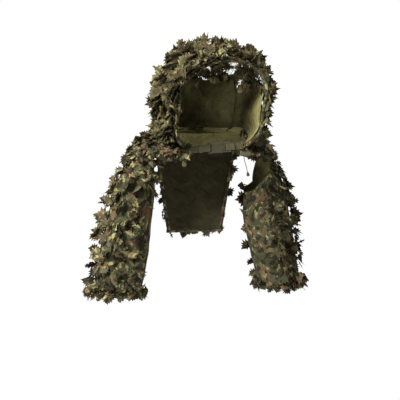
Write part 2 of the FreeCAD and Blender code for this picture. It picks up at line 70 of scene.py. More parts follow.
HOOD_RIM_Y, HOOD_WIDEST_Y, HOOD_BACK_Y, DOME_Y = -0.205, -0.070, 0.108, 0.040
HOOD_HALF_WIDTH, HOOD_HALF_HEIGHT, HOOD_CENTRE_Z = 0.193, 0.184, 0.181
RIM_HALF_WIDTH, RIM_HALF_HEIGHT, RIM_CENTRE_Z = 0.172, 0.160, 0.152
DOME_DEPTH = HOOD_BACK_Y - HOOD_WIDEST_Y
SQUARENESS = 2.5
CROWN_HALF_ANGLE = 80.0
BACK_NET_Z = 0.262
NECK_Z, NECK_LEVEL_Y, CHEST_Y, CHEST_Z, RIM_CORNER_Z = 0.078, -0.005, -0.115, 0.020, 0.130
YOKE_INNER, YOKE_SEAM, YOKE_OUTER = 0.100, 0.176, 0.240
BACK_TOP_Z = 0.064
CAP_Z, CAP_ANGLE, ARMPIT_Z, SIDE_ANGLE, CUFF_Z = -0.004, 52.0, -0.118, 96.0, -0.500
TAIL_TOP_Z, TAIL_BOTTOM_Z, TAIL_TOP_HALF, TAIL_BOTTOM_HALF = -0.026, -0.290, 0.152, 0.108
YOKE_FRONT_Y, YOKE_BACK_Y, YOKE_EDGE_Z, YOKE_RIDGE_Z = -0.108, 0.104, -0.006, 0.096
SLEEVE_X, SLEEVE_Y = 0.2195, 0.012      # a sleeve's axis at the height of the shoulder seam
STRAP_MOUTH, STRAP_TILT = V((0.028, -0.116, 0.0095)), math.radians(4.0)

# How far the soft hood leans from the CAD's shape, at the most.
BROW_IN, BROW_SINK, FRONT_SINK = 0.012, 0.016, 0.008
RIGHT_CROWN_IN, LEFT_CROWN_BULGE = 0.014, 0.004
RIGHT_CHEEK_IN, LEFT_CHEEK_IN, LEFT_TEMPLE_IN = 0.010, 0.030, 0.010


def spread(first, last, count):
    return [first + (last - first) * i / (count - 1) for i in range(count)]


def signed_power(value, power):
    return math.copysign(abs(value) ** power, value)


def smoothstep(low, high, value):
    t = min(max((value - low) / (high - low), 0.0), 1.0)
    return t * t * (3.0 - 2.0 * t)


def length_of(points):
    return sum((b - a).length for a, b in zip(points, points[1:]))


def link(obj):
    bpy.context.scene.collection.objects.link(obj)
    return obj


def pair(side):
    return "left" if side > 0 else "right"


def hood_station(y):
    if y < HOOD_WIDEST_Y:
        t = ((HOOD_WIDEST_Y - y) / (HOOD_WIDEST_Y - HOOD_RIM_Y)) ** 2
        return (HOOD_HALF_WIDTH + (RIM_HALF_WIDTH - HOOD_HALF_WIDTH) * t,
                HOOD_HALF_HEIGHT + (RIM_HALF_HEIGHT - HOOD_HALF_HEIGHT) * t,
                HOOD_CENTRE_Z + (RIM_CENTRE_Z - HOOD_CENTRE_Z) * t)
    t = min((y - HOOD_WIDEST_Y) / DOME_DEPTH, 0.9999)
    shrink = math.sqrt(1.0 - t ** 2.2)
    return HOOD_HALF_WIDTH * shrink, HOOD_HALF_HEIGHT * shrink, HOOD_CENTRE_Z


def slump(p):
    """How the soft hood leans: the right brow sinks, the left crown bulges, the left cheek tucks in."""
    front = smoothstep(0.05, -0.19, p.y)
    high = smoothstep(0.16, 0.33, p.z)
    right = smoothstep(0.02, -0.15, p.x)
    left = smoothstep(0.0, 0.16, p.x)
    cheek = math.exp(-((p.z - 0.135) / 0.062) ** 2) * smoothstep(0.10, -0.05, p.y)
    temple = math.exp(-((p.z - 0.250) / 0.045) ** 2)
    crown_x = BROW_IN * high * right * front + RIGHT_CROWN_IN * high * right + LEFT_CROWN_BULGE * high * left
    cheek_x = (RIGHT_CHEEK_IN * right - LEFT_CHEEK_IN * left) * cheek
    rise = -BROW_SINK * high * right * front - FRONT_SINK * high * front + LEFT_CROWN_BULGE * high * left
    return p + V((crown_x + cheek_x - LEFT_TEMPLE_IN * left * temple, 0.0, rise))


def on_section(half_width, half_height, centre, angle, y):
    """Place on a squarish section of the hood, slumped."""
    turn = math.radians(angle)
    power = 2.0 / SQUARENESS
    return slump(V((half_width * signed_power(math.sin(turn), power), y,
                    centre + half_height * signed_power(math.cos(turn), power))))


def hood_point(angle, y, depth):
    """Place on the hood; the angle in degrees is 0 at the crown and positive to the wearer's left."""
    half_width, half_height, centre = hood_station(y)
    return on_section(half_width + depth, half_height + depth, centre, angle, y)


def dome_point(angle, lean, depth):
    """Place on the dome behind the hood; the lean in degrees is about 36 at its front and 90 at its tip."""
    tilt = math.radians(lean)
    t = math.sin(tilt) ** (1.0 / 1.1)
    y = HOOD_WIDEST_Y + DOME_DEPTH * t
    half_width, half_height, centre = hood_station(y)
    out = depth * math.cos(tilt)
    return on_section(half_width + out, half_height + out, centre, angle, y + depth * math.sin(tilt))


def dome_level(share, z, depth):
    """Place on the dome at a height; the share is -1 at the wearer's right edge and 1 at the left edge."""
    reach = math.sqrt(1.0 - ((DOME_Y - HOOD_WIDEST_Y) / DOME_DEPTH) ** 2.2)
    high = (z - HOOD_CENTRE_Z) / HOOD_HALF_HEIGHT
    drop = abs(high) ** SQUARENESS
    wide = share * max(reach ** SQUARENESS - drop, 0.0) ** (1.0 / SQUARENESS)
    size = max((abs(wide) ** SQUARENESS + drop) ** (1.0 / SQUARENESS), 1e-4)
    t = (1.0 - size ** 2) ** (1.0 / 2.2)
    power = SQUARENESS - 1.0
    normal = V((2.0 * size ** -0.5 * signed_power(wide, power) / HOOD_HALF_WIDTH,
                2.2 * t ** 1.2 / DOME_DEPTH,
                2.0 * size ** -0.5 * signed_power(high, power) / HOOD_HALF_HEIGHT)).normalized()
    base = V((wide * HOOD_HALF_WIDTH, HOOD_WIDEST_Y + DOME_DEPTH * t, z))
    return slump(base + normal * depth)


DOME_LEAN = math.degrees(math.asin(((DOME_Y - HOOD_WIDEST_Y) / DOME_DEPTH) ** 1.1))


def neckline_z(y):
    if y >= NECK_LEVEL_Y:
        return NECK_Z
    if y >= CHEST_Y:
        return NECK_Z + (CHEST_Z - NECK_Z) * ((NECK_LEVEL_Y - y) / (NECK_LEVEL_Y - CHEST_Y)) ** 1.3
    return CHEST_Z + (RIM_CORNER_Z - CHEST_Z) * (CHEST_Y - y) / (CHEST_Y - HOOD_RIM_Y)


def edge_angle(y, lift=0.0):
    """Angle at which the hood's section comes down to the neckline, or to a lift above it."""
    half_height, centre = hood_station(y)[1:]
    drop = (centre - neckline_z(y) - lift) / half_height
    if drop >= 1.0:
        return 180.0
    return math.degrees(math.acos(-signed_power(drop, SQUARENESS / 2.0)))


def dome_edge(lean, lift=0.0):
    t = math.sin(math.radians(lean)) ** (1.0 / 1.1)
    return edge_angle(HOOD_WIDEST_Y + DOME_DEPTH * t, lift)


def outward_share(x, power):
    return (max(abs(x) - YOKE_INNER, 0.0) / (YOKE_OUTER - YOKE_INNER)) ** power


def yoke_arch(x):
    share = outward_share(x, 1.5)
    front = YOKE_FRONT_Y + 0.048 * share
    back = YOKE_BACK_Y - 0.024 * share
    edge = YOKE_EDGE_Z - 0.034 * share
    ridge = YOKE_RIDGE_Z - 0.072 * outward_share(x, 1.6)
    return (front + back) / 2.0, (back - front) / 2.0, edge, ridge - edge


def yoke_point(angle, x, depth):
    """Place on the yoke; the angle is 0 at the ridge, -90 at the front edge and 90 at the back edge."""
    centre, half_depth, edge, rise = yoke_arch(x)
    turn = math.radians(angle)
    return V((x, centre + (half_depth + depth) * math.sin(turn), edge + (rise + depth) * math.cos(turn)))


def yoke_angle(x, z):
    edge, rise = yoke_arch(x)[2:]
    return math.degrees(math.acos(min((z - edge) / rise, 1.0)))


def front_top(x):
    return 0.008 + 0.050 * (abs(x) - YOKE_INNER) / (YOKE_SEAM - YOKE_INNER)


def tail_half(z):
    widening = TAIL_BOTTOM_HALF - TAIL_TOP_HALF
    return TAIL_TOP_HALF + widening * (z - TAIL_TOP_Z) / (TAIL_BOTTOM_Z - TAIL_TOP_Z)


def tail_point(x, z, depth):
    return V((x, 0.104 - 0.020 * (x / TAIL_TOP_HALF) ** 2 + depth, z))


def sleeve_point(side):
    """Surface function of one sleeve; the angle is 0 at the outside and positive to the back."""
    def point(angle, z, depth):
        tuck = math.exp(min(z, 0.0) / 0.100)
        across = 0.087 - 0.051 * tuck + depth
        along = 0.095 - 0.030 * tuck + depth
        turn = math.radians(angle)
        hang_in = 0.013 * math.exp(-((z + 0.245) / 0.09) ** 2) - 0.012 * smoothstep(-0.36, -0.50, z)
        if side < 0:
            hang_in = 0.012 * smoothstep(-0.22, -0.40, z)
        across += hang_in * (0.5 - 0.5 * math.cos(turn))
        return V((side * (SLEEVE_X - 0.192 * z + across * math.cos(turn)),
                  SLEEVE_Y - 0.06 * z + along * math.sin(turn), z))
    return point


def front_half(side, z):
    """The outer panel's front half angle; the wearer's right armhole hangs almost closed."""
    return SIDE_ANGLE if side < 0 else outer_half(z)


def underarm_top(side, angle):
    """Height of the underarm panel's upper edge; 264 degrees is its front seam and 180 faces the torso."""
    scoop = ARMPIT_Z - 0.036 * math.sin(math.pi * (angle - SIDE_ANGLE + 0.5) / (361.0 - 2.0 * SIDE_ANGLE))
    if side > 0:
        return scoop + 0.027 * smoothstep(206.0, 256.0, angle)
    return scoop + (-0.016 - scoop) * smoothstep(214.0, 236.0, angle)


def outer_half(z):
    share = min(1.0, (CAP_Z - z) / (CAP_Z - ARMPIT_Z))
    return CAP_ANGLE + (SIDE_ANGLE - CAP_ANGLE) * math.sin(share * math.pi / 2.0)


def chest(x, y, z):
    """From the strap's own frame, with x along the strap, to its place on the chest."""
    return V((x * math.cos(STRAP_TILT) - z * math.sin(STRAP_TILT), y,
              x * math.sin(STRAP_TILT) + z * math.cos(STRAP_TILT))) + STRAP_MOUTH


def outward(point, u, v, du):
    """Unit normal of a surface function, away from the garment."""
    dv = 0.004
    across = point(u + du, v, 0.0) - point(u - du, v, 0.0)
    along = point(u, v + dv, 0.0) - point(u, v - dv, 0.0)
    normal = across.cross(along)
    away = point(u, v, 0.004) - point(u, v, 0.0)
    if normal.length < 1e-9:
        return away.normalized()
    return normal.normalized() * math.copysign(1.0, normal.dot(away))


# ---------------------------------------------------------------- materials

def linear(*srgb):
    return tuple(c / 255 / 12.92 if c <= 10 else ((c / 255 + 0.055) / 1.055) ** 2.4 for c in srgb) + (1.0,)


class Shader:
    """One principled material and a few short ways to add nodes to it."""

    def __init__(self, name, roughness=0.9, sheen=0.0, specular=0.3):
        self.material = bpy.data.materials.new(name)
        self.material.use_nodes = True
        self.tree = self.material.node_tree
        self.shader = self.tree.nodes["Principled BSDF"]
        self.shader.inputs["Roughness"].default_value = roughness
        self.shader.inputs["Specular IOR Level"].default_value = specular
        self.shader.inputs["Sheen Weight"].default_value = sheen

    def add(self, kind, inputs=None, **settings):
        node = self.tree.nodes.new(kind)
        for key, value in settings.items():
            setattr(node, key, value)
        for key, value in (inputs or {}).items():
            if isinstance(value, bpy.types.NodeSocket):
                self.tree.links.new(value, node.inputs[key])
            else:
                node.inputs[key].default_value = value
        return node

    def attribute(self, name, output="Fac"):
        return self.add("ShaderNodeAttribute", attribute_name=name).outputs[output]

    def shifted(self, vector, x, y, z):
        return self.add("ShaderNodeVectorMath", {0: vector, 1: (x, y, z)}).outputs[0]

    def noise(self, vector, scale, detail=2.0, distortion=0.0, shift=0.0):
        moved = self.shifted(vector, shift, shift * 0.37, -shift)
        node = self.add("ShaderNodeTexNoise", {"Vector": moved, "Scale": scale, "Detail": detail,
                                               "Distortion": distortion})
        return node.outputs["Fac"]

    def ramp(self, value, low, high):
        node = self.add("ShaderNodeMapRange", {"Value": value, "From Min": low, "From Max": high})
        return node.outputs["Result"]

    def math(self, operation, a, b):
        return self.add("ShaderNodeMath", {0: a, 1: b}, operation=operation).outputs[0]

    def mix(self, factor, a, b, blend="MIX"):
        node = self.add("ShaderNodeMix", {"Factor": factor}, data_type="RGBA", blend_type=blend)
        for socket, value in ((node.inputs[6], a), (node.inputs[7], b)):
            if isinstance(value, bpy.types.NodeSocket):
                self.tree.links.new(value, socket)
            else:
                socket.default_value = value
        return node.outputs[2]

    def times(self, colour, other):
        return self.mix(1.0, colour, other, "MULTIPLY")

    def tint(self, colour, mask, strength, paint):
        """Lay a paint over a colour where a mask is high."""
        return self.mix(self.math("MULTIPLY", mask, strength), colour, paint)

    def wave(self, vector, period, direction, distortion):
        node = self.add("ShaderNodeTexWave", {"Vector": vector, "Scale": 0.314 / period,
                                              "Distortion": distortion}, bands_direction=direction)
        return node.outputs["Fac"]

    def bump(self, height, distance, strength, below=None):
        inputs = {"Height": height, "Distance": distance, "Strength": strength}
        if below is not None:
            inputs["Normal"] = below
        return self.add("ShaderNodeBump", inputs).outputs["Normal"]

    def finish(self, colour, normal=None, roughness=None):
        self.tree.links.new(colour, self.shader.inputs["Base Color"])
        if normal is not None:
            self.tree.links.new(normal, self.shader.inputs["Normal"])
        if roughness is not None:
            self.tree.links.new(roughness, self.shader.inputs["Roughness"])
        return self.material


TAN = linear(150, 143, 98)
OLIVE = linear(112, 106, 68)
MOSS = linear(60, 64, 45)
GREY_GREEN = linear(78, 82, 68)
RUST = linear(103, 76, 55)
MAUVE = linear(94, 77, 60)
BLACK = linear(30, 27, 20)


def camo_print(shader, cloth, tone, scale=1.0, spotted=1.0):
    """Spotted camouflage print in cloth coordinates, times the tone: a random brightness per piece, with
    painted shade on some pieces.
    """
    colour = shader.mix(shader.ramp(shader.noise(cloth, 15 * scale, 2.5, 0.4), 0.49, 0.51), OLIVE, TAN)
    layers = ((31, 0.535, GREY_GREEN, 3.1), (27, 0.54, RUST, 7.7), (38, 0.59, MAUVE, 17.1),
              (29, 0.515, MOSS, 13.3), (42, 0.54, BLACK, 21.9))
    for size, edge, paint, shift in layers:
        spots = shader.noise(cloth, size * scale, 3.6, 0.35, shift)
        over = shader.math("MULTIPLY", shader.ramp(spots, edge - 0.008, edge + 0.008), spotted)
        colour = shader.mix(over, colour, paint)
    fade = shader.ramp(shader.noise(cloth, 420, 3.0, 0.0, 5.0), 0.25, 0.8)
    colour = shader.tint(colour, fade, 0.16, linear(150, 142, 104))
    return shader.times(colour, tone)


def twill(shader, cloth, period=0.0011):
    """Diagonal weave of slightly uneven threads."""
    ribs = shader.wave(cloth, period, "DIAGONAL", 0.6)
    slub = shader.noise(cloth, 900, 2.0)
    return shader.math("ADD", ribs, shader.math("MULTIPLY", slub, 0.7))


def tone_colour(shader):
    return shader.attribute("tone", "Color")


def make_leaf_material(name, spotted, gain):
    """Cut leaves; some are plain and some spotted, each with a shade of its own."""
    shader = Shader(name, 0.88, 0.0, 0.06)
    cloth = shader.attribute("cloth", "Vector")
    colour = camo_print(shader, cloth, tone_colour(shader), 1.15, spotted)
    colour = shader.times(colour, (gain, gain * 0.98, gain * 0.96, 1.0))
    rim = shader.math("POWER", shader.attribute("rim"), 9.0)
    colour = shader.tint(colour, rim, 0.40, linear(36, 32, 20))
    normal = shader.bump(twill(shader, cloth), 0.00025, 0.7)
    normal = shader.bump(shader.noise(cloth, 140, 2.0, 0.0, 9.0), 0.0012, 0.5, normal)
    return shader.finish(colour, normal)


def make_cloth_material(name, gain, scale=1.0):
    shader = Shader(name, 0.92, 0.0, 0.05)
    cloth = shader.attribute("cloth", "Vector")
    colour = camo_print(shader, cloth, tone_colour(shader), scale)
    colour = shader.times(colour, (gain, gain, gain, 1.0))
    normal = shader.bump(twill(shader, cloth), 0.00025, 0.7)
    normal = shader.bump(shader.noise(cloth, 70, 3.0, 0.3, 2.0), 0.0025, 0.6, normal)
    return shader.finish(colour, normal)


def make_plain_material(name, rgb, dark, period=0.0011, creases=0.0):
    """Plain dyed cloth with uneven fading and soft creases."""
    shader = Shader(name, 0.94, 0.0, 0.05)
    cloth = shader.attribute("cloth", "Vector")
    patch = shader.ramp(shader.noise(cloth, 26, 4.0, 0.3), 0.3, 0.7)
    colour = shader.mix(patch, linear(*dark), linear(*rgb))
    speck = shader.ramp(shader.noise(cloth, 700, 2.0, 0.0, 4.0), 0.35, 0.75)
    colour = shader.tint(colour, speck, 0.3, linear(*[min(255, c + 34) for c in rgb]))
    # the tone brings random brightness, and painted shade on the hood's lining
    colour = shader.times(colour, tone_colour(shader))
    normal = shader.bump(twill(shader, cloth, period), 0.0003, 0.8)
    normal = shader.bump(shader.noise(cloth, 60, 3.0, 0.4, 8.0), 0.003, 0.6, normal)
    normal = shader.bump(shader.noise(cloth, 13, 2.0, 1.6, 15.0), 0.030, creases, normal)
    return shader.finish(colour, normal)


def make_webbing_material():
    shader = Shader("olive_webbing", 0.8, 0.0, 0.12)
    cloth = shader.attribute("cloth", "Vector")
    across = shader.wave(cloth, 0.0017, "X", 0.25)
    along = shader.wave(cloth, 0.0024, "Y", 0.2)
    threads = shader.math("MULTIPLY", across, shader.math("ADD", along, 0.35))
    shade = shader.ramp(threads, 0.05, 0.9)
    colour = shader.mix(shade, linear(58, 56, 40), linear(120, 116, 86))
    worn = shader.ramp(shader.noise(cloth, 90, 4.0, 0.4, 3.0), 0.45, 0.75)
    colour = shader.tint(colour, worn, 0.35, linear(134, 128, 98))
    edge = shader.math("POWER", shader.attribute("rim"), 6.0)
    colour = shader.tint(colour, edge, 0.4, linear(58, 54, 37))
    return shader.finish(colour, shader.bump(threads, 0.0004, 0.9))


def make_plastic_material(name, rgb, wear, roughness):
    shader = Shader(name, roughness, 0.0, 0.45)
    place = shader.add("ShaderNodeTexCoord").outputs["Object"]
    cloud = shader.ramp(shader.noise(place, 120, 4.0, 0.3), 0.35, 0.7)
    colour = shader.mix(cloud, linear(*[c * 0.86 for c in rgb]), linear(*rgb))
    scuff = shader.ramp(shader.noise(place, 420, 5.0, 1.6, 6.0), 0.62, 0.72)
    colour = shader.tint(colour, scuff, 0.5, linear(*wear))
    rough = shader.ramp(cloud, -2.2 * roughness, 2.0)
    grain = shader.noise(place, 2600, 2.0)
    return shader.finish(colour, shader.bump(grain, 0.00012, 0.5), rough)


def make_cord_material():
    shader = Shader("olive_cord_braid", 0.75, 0.2, 0.3)
    place = shader.add("ShaderNodeTexCoord").outputs["Object"]
    one = shader.wave(place, 0.0009, "DIAGONAL", 0.4)
    two = shader.wave(place, 0.0012, "Z", 0.3)
    braid = shader.math("MULTIPLY", one, two)
    colour = shader.mix(shader.ramp(braid, 0.0, 0.8), linear(40, 37, 25), linear(92, 88, 62))
    return shader.finish(colour, shader.bump(braid, 0.0003, 0.8))


def make_thread_material():
    shader = Shader("sewing_thread", 0.6, 0.1, 0.35)
    cloth = shader.attribute("cloth", "Vector")
    twist = shader.noise(cloth, 800, 2.0)
    return shader.finish(shader.mix(shader.ramp(twist, 0.3, 0.7), linear(88, 82, 52), linear(150, 142, 100)))


LEAVES = make_leaf_material("cut_leaf_cloth", 1.0, 1.0)
PLAIN_LEAVES = make_leaf_material("cut_leaf_cloth_plainer", 0.66, 0.88)
CAMO = make_cloth_material("camo_cloth_print", 0.95)
BINDING = make_cloth_material("camo_binding_print", 1.0, 1.4)
LINING = make_plain_material("olive_tan_lining", (130, 123, 78), (94, 89, 55), creases=0.8)
# Painted shade: a darker olive for the back panel's inner face, for the shade between the sleeves and the
# torso.
PAINTED_SHADE_OLIVE = make_plain_material("painted_shade_olive_panel", (62, 58, 38), (44, 41, 27), creases=0.5)
COLLAR = make_plain_material("olive_collar_cloth", (92, 88, 58), (64, 61, 41), creases=0.6)
NET = make_plain_material("net_yarn", (104, 99, 70), (72, 68, 47), 0.0006)
WEBBING = make_webbing_material()
BUCKLE = make_plastic_material("moulded_olive_plastic", (78, 75, 53), (112, 108, 82), 0.5)
CORD_END = make_plastic_material("moulded_dark_plastic", (52, 49, 34), (92, 88, 66), 0.45)
BRAID = make_cord_material()
THREAD = make_thread_material()


# ---------------------------------------------------------------- mesh helpers

def make_object(name, verts, faces, cloth, tone=None, rim=None, materials=()):
    """Mesh object with the cloth coordinates, tone and rim that its material reads."""
    mesh = bpy.data.meshes.new(name)
    mesh.from_pydata([tuple(v) for v in verts], [], faces)
    count = len(mesh.vertices)
    layer = mesh.attributes.new("cloth", "FLOAT_VECTOR", "POINT")
    layer.data.foreach_set("vector", np.asarray(cloth, np.float32).reshape(-1))
    for key, values in (("tone", tone), ("rim", rim)):
        layer = mesh.attributes.new(key, "FLOAT", "POINT")
        given = np.full(count, 1.0 if key == "tone" else 0.0) if values is None else np.asarray(values)
        layer.data.foreach_set("value", given.astype(np.float32))
    mesh.polygons.foreach_set("use_smooth", [True] * len(mesh.polygons))
    mesh.update()
    for material in materials:
        mesh.materials.append(material)
    return link(bpy.data.objects.new(name, mesh))


def solidify(obj, thickness, offset, inner_material=0):
    modifier = obj.modifiers.new("thickness", "SOLIDIFY")
    modifier.thickness = thickness
    modifier.offset = offset
    modifier.material_offset = inner_material


def attach(obj, body, nodes=(), wrap=None):
    """Hide the CAD nodes that a piece stands for, and hang the piece on the body it rides on; a piece given a
    wrap is only baked in place.
    """
    if nodes:
        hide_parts(*nodes)
    if wrap is None:
        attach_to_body(obj, body)
    else:
        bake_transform(obj)
    return obj


def grid_faces(rows, count):
    """Faces between rows of as many vertices each."""
    corners = [r * count + c for r in range(rows - 1) for c in range(count - 1)]
    return [(a, a + 1, a + count + 1, a + count) for a in corners]


def ring_faces(rings, sides, closed=False):
    """Faces between rings of vertices; a run that doesn't close on itself gets a cap at each end."""
    faces = []
    for i in range(rings if closed else rings - 1):
        j = (i + 1) % rings
        for k in range(sides):
            m = (k + 1) % sides
            faces.append((i * sides + k, i * sides + m, j * sides + m, j * sides + k))
    if not closed:
        faces.append(tuple(reversed(range(sides))))
        faces.append(tuple(range((rings - 1) * sides, rings * sides)))
    return faces


def renumbered(faces, start):
    return [tuple(k + start for k in face) for face in faces]


def around(path, i, closed):
    """The places before and after a place of a path."""
    n = len(path)
    if closed:
        return path[(i - 1) % n], path[(i + 1) % n]
    return path[max(i - 1, 0)], path[min(i + 1, n - 1)]


def rounded_rectangle(x0, x1, y0, y1, r, steps):
    """Outline with round corners, as pairs of numbers."""
    points = []
    corners = ((x1 - r, y1 - r, 0), (x0 + r, y1 - r, 90), (x0 + r, y0 + r, 180), (x1 - r, y0 + r, 270))
    for x, y, start in corners:
        for a in spread(start, start + 90, steps):
            turn = math.radians(a)
            points.append((x + r * math.cos(turn), y + r * math.sin(turn)))
    return points


def folds(p, size=1.0):
    """Depth of the cloth's soft folds at a place, inwards only."""
    wide = noise.noise(V((p.x * 13.0, p.y * 13.0, p.z * 7.0)) + V((3.1, 0.4, 9.2)))
    fine = noise.noise(V((p.x * 34.0, p.y * 34.0, p.z * 22.0)) + V((7.7, 5.5, 1.3)))
    return -0.0022 - 0.0032 * (size - 1.0) + size * (0.0030 * wide + 0.0014 * fine)


def cloth_sheet(name, body, point, limits, stations, count, materials, nodes, seed, fold=1.0,
                shade=None):
    """A cloth panel over a surface function, with cloth coordinates that measure its flat size."""
    rows = [[point(u, v, folds(point(u, v, 0.0), fold)) for u in spread(*limits(v), count)] for v in stations]
    verts = [p for row in rows for p in row]
    cloth = []
    along = 0.0
    middle = count // 2
    for r, row in enumerate(rows):
        if r:
            along += (row[middle] - rows[r - 1][middle]).length
        reach = [0.0]
        for a, b in zip(row, row[1:]):
            reach.append(reach[-1] + (b - a).length)
        cloth += [(c - reach[middle] + seed, along + seed * 0.7, 0.0) for c in reach]
    faces = grid_faces(len(rows), count)
    centre = len(stations) // 2
    here = centre * count + middle
    normal = (verts[here + 1] - verts[here]).cross(verts[here + count] - verts[here])
    u_mid = spread(*limits(stations[centre]), count)[middle]
    away = point(u_mid, stations[centre], 0.01) - point(u_mid, stations[centre], 0.0)
    if normal.dot(away) < 0:
        faces = [tuple(reversed(f)) for f in faces]
    # a shade function, where given, multiplies painted shade or painted light into the tone
    tone = [(0.92 + 0.16 * noise.noise(V(p) * 9.0)) * (shade(p) if shade else 1.0) for p in verts]
    obj = make_object(name, verts, faces, cloth, tone, None, materials)
    solidify(obj, SHEET, -1.0, 1)
    attach(obj, body, nodes)
    length = max(length_of([row[c] for row in rows]) for c in (0, middle, count - 1))


def tube_mesh(points, radius, sides, radius_at=None):
    """Vertices, faces and cloth coordinates of a tube along points."""
    verts, cloth = [], []
    side = None
    along = 0.0
    for i, p in enumerate(points):
        if i:
            along += (p - points[i - 1]).length
        before, after = around(points, i, False)
        ahead = (after - before).normalized()
        if side is None:
            side = ahead.orthogonal().normalized()
        side = (side - ahead * side.dot(ahead)).normalized()
        up = ahead.cross(side)
        for k in range(sides):
            turn = 2.0 * math.pi * k / sides
            r = radius if radius_at is None else radius_at(along, turn)
            verts.append(p + (side * math.cos(turn) + up * math.sin(turn)) * r)
            cloth.append((radius * abs(turn - math.pi), along, 0.0))
    return verts, ring_faces(len(points), sides), cloth


def resample(points, count):
    """Evenly spaced points along a polyline."""
    lengths = [0.0]
    for a, b in zip(points, points[1:]):
        lengths.append(lengths[-1] + (b - a).length)
    result = []
    j = 0
    for target in spread(0.0, lengths[-1], count):
        while j < len(points) - 2 and lengths[j + 1] < target:
            j += 1
        gap = lengths[j + 1] - lengths[j]
        share = (target - lengths[j]) / gap if gap > 1e-9 else 0.0
        result.append(points[j].lerp(points[j + 1], min(max(share, 0.0), 1.0)))
    return result


def stitches(name, body, points, rise, pitch=0.0042, length=0.0028):
    """A row of short thread stitches along a line; rise is the way that they stand proud."""
    radius, sides = 0.00042, 5
    places = resample(points, max(3, int(length_of(points) / pitch)))
    verts, faces, cloth = [], [], []
    for i in range(len(places) - 1):
        ahead = (places[i + 1] - places[i]).normalized()
        up = rise(places[i]) if callable(rise) else rise
        up = (up - ahead * up.dot(ahead)).normalized()
        side = ahead.cross(up)
        start = len(verts)
        for share, size in ((0.0, 0.35), (0.2, 1.0), (0.8, 1.0), (1.0, 0.35)):
            p = places[i] + ahead * (length * share) + up * (radius * (1.1 * size - 0.5))
            for k in range(sides):
                turn = 2.0 * math.pi * k / sides
                verts.append(p + (side * math.cos(turn) + up * math.sin(turn)) * radius * size)
                cloth.append((i * 0.013, share * length, turn * radius))
        faces += renumbered(ring_faces(4, sides), start)
    attach(make_object(name, verts, faces, cloth, materials=(THREAD,)), body)


# ---------------------------------------------------------------- leaves

def lobed(points_right):
    """Closed outline from its right half, given from the stem to the tip."""
    left = [(-x, y) for x, y in reversed(points_right) if abs(x) > 1e-6]
    return points_right + left


OUTLINES = {
    "oak": lobed([(0.0, 0.0), (0.05, 0.06), (0.24, 0.08), (0.15, 0.20), (0.38, 0.26), (0.40, 0.36),
                  (0.18, 0.42), (0.42, 0.56), (0.38, 0.66), (0.16, 0.66), (0.28, 0.82), (0.19, 0.90),
                  (0.08, 0.86), (0.0, 1.0)]),
    "maple": lobed([(0.0, 0.0), (0.05, 0.11), (0.26, -0.02), (0.26, 0.12), (0.56, 0.12), (0.38, 0.29),
                    (0.68, 0.45), (0.44, 0.50), (0.54, 0.70), (0.27, 0.62), (0.28, 0.80), (0.14, 0.76),
                    (0.09, 0.86), (0.0, 1.04)]),
    "thorn": lobed([(0.0, 0.0), (0.08, 0.04), (0.28, 0.08), (0.21, 0.19), (0.50, 0.24), (0.31, 0.37),
                    (0.58, 0.49), (0.32, 0.55), (0.44, 0.72), (0.23, 0.70), (0.26, 0.84), (0.13, 0.82),
                    (0.08, 0.92), (0.0, 1.03)]),
    "vine": lobed([(0.0, 0.0), (0.12, 0.01), (0.34, 0.05), (0.44, 0.18), (0.40, 0.28), (0.58, 0.38),
                   (0.58, 0.53), (0.45, 0.58), (0.46, 0.70), (0.32, 0.73), (0.26, 0.85), (0.16, 0.86),
                   (0.08, 0.94), (0.0, 1.0)]),
    "sprig": lobed([(0.0, 0.0), (0.05, 0.03), (0.06, 0.25), (0.16, 0.36), (0.07, 0.40), (0.07, 0.52),
                    (0.19, 0.68), (0.10, 0.70), (0.07, 0.72), (0.06, 0.80), (0.10, 0.88), (0.05, 0.90),
                    (0.03, 0.94), (0.0, 1.0)]),
}
BROAD = ("oak", "maple", "thorn", "vine", "maple", "thorn")
INNER = 0.52            # size of the leaf's inner ring of vertices


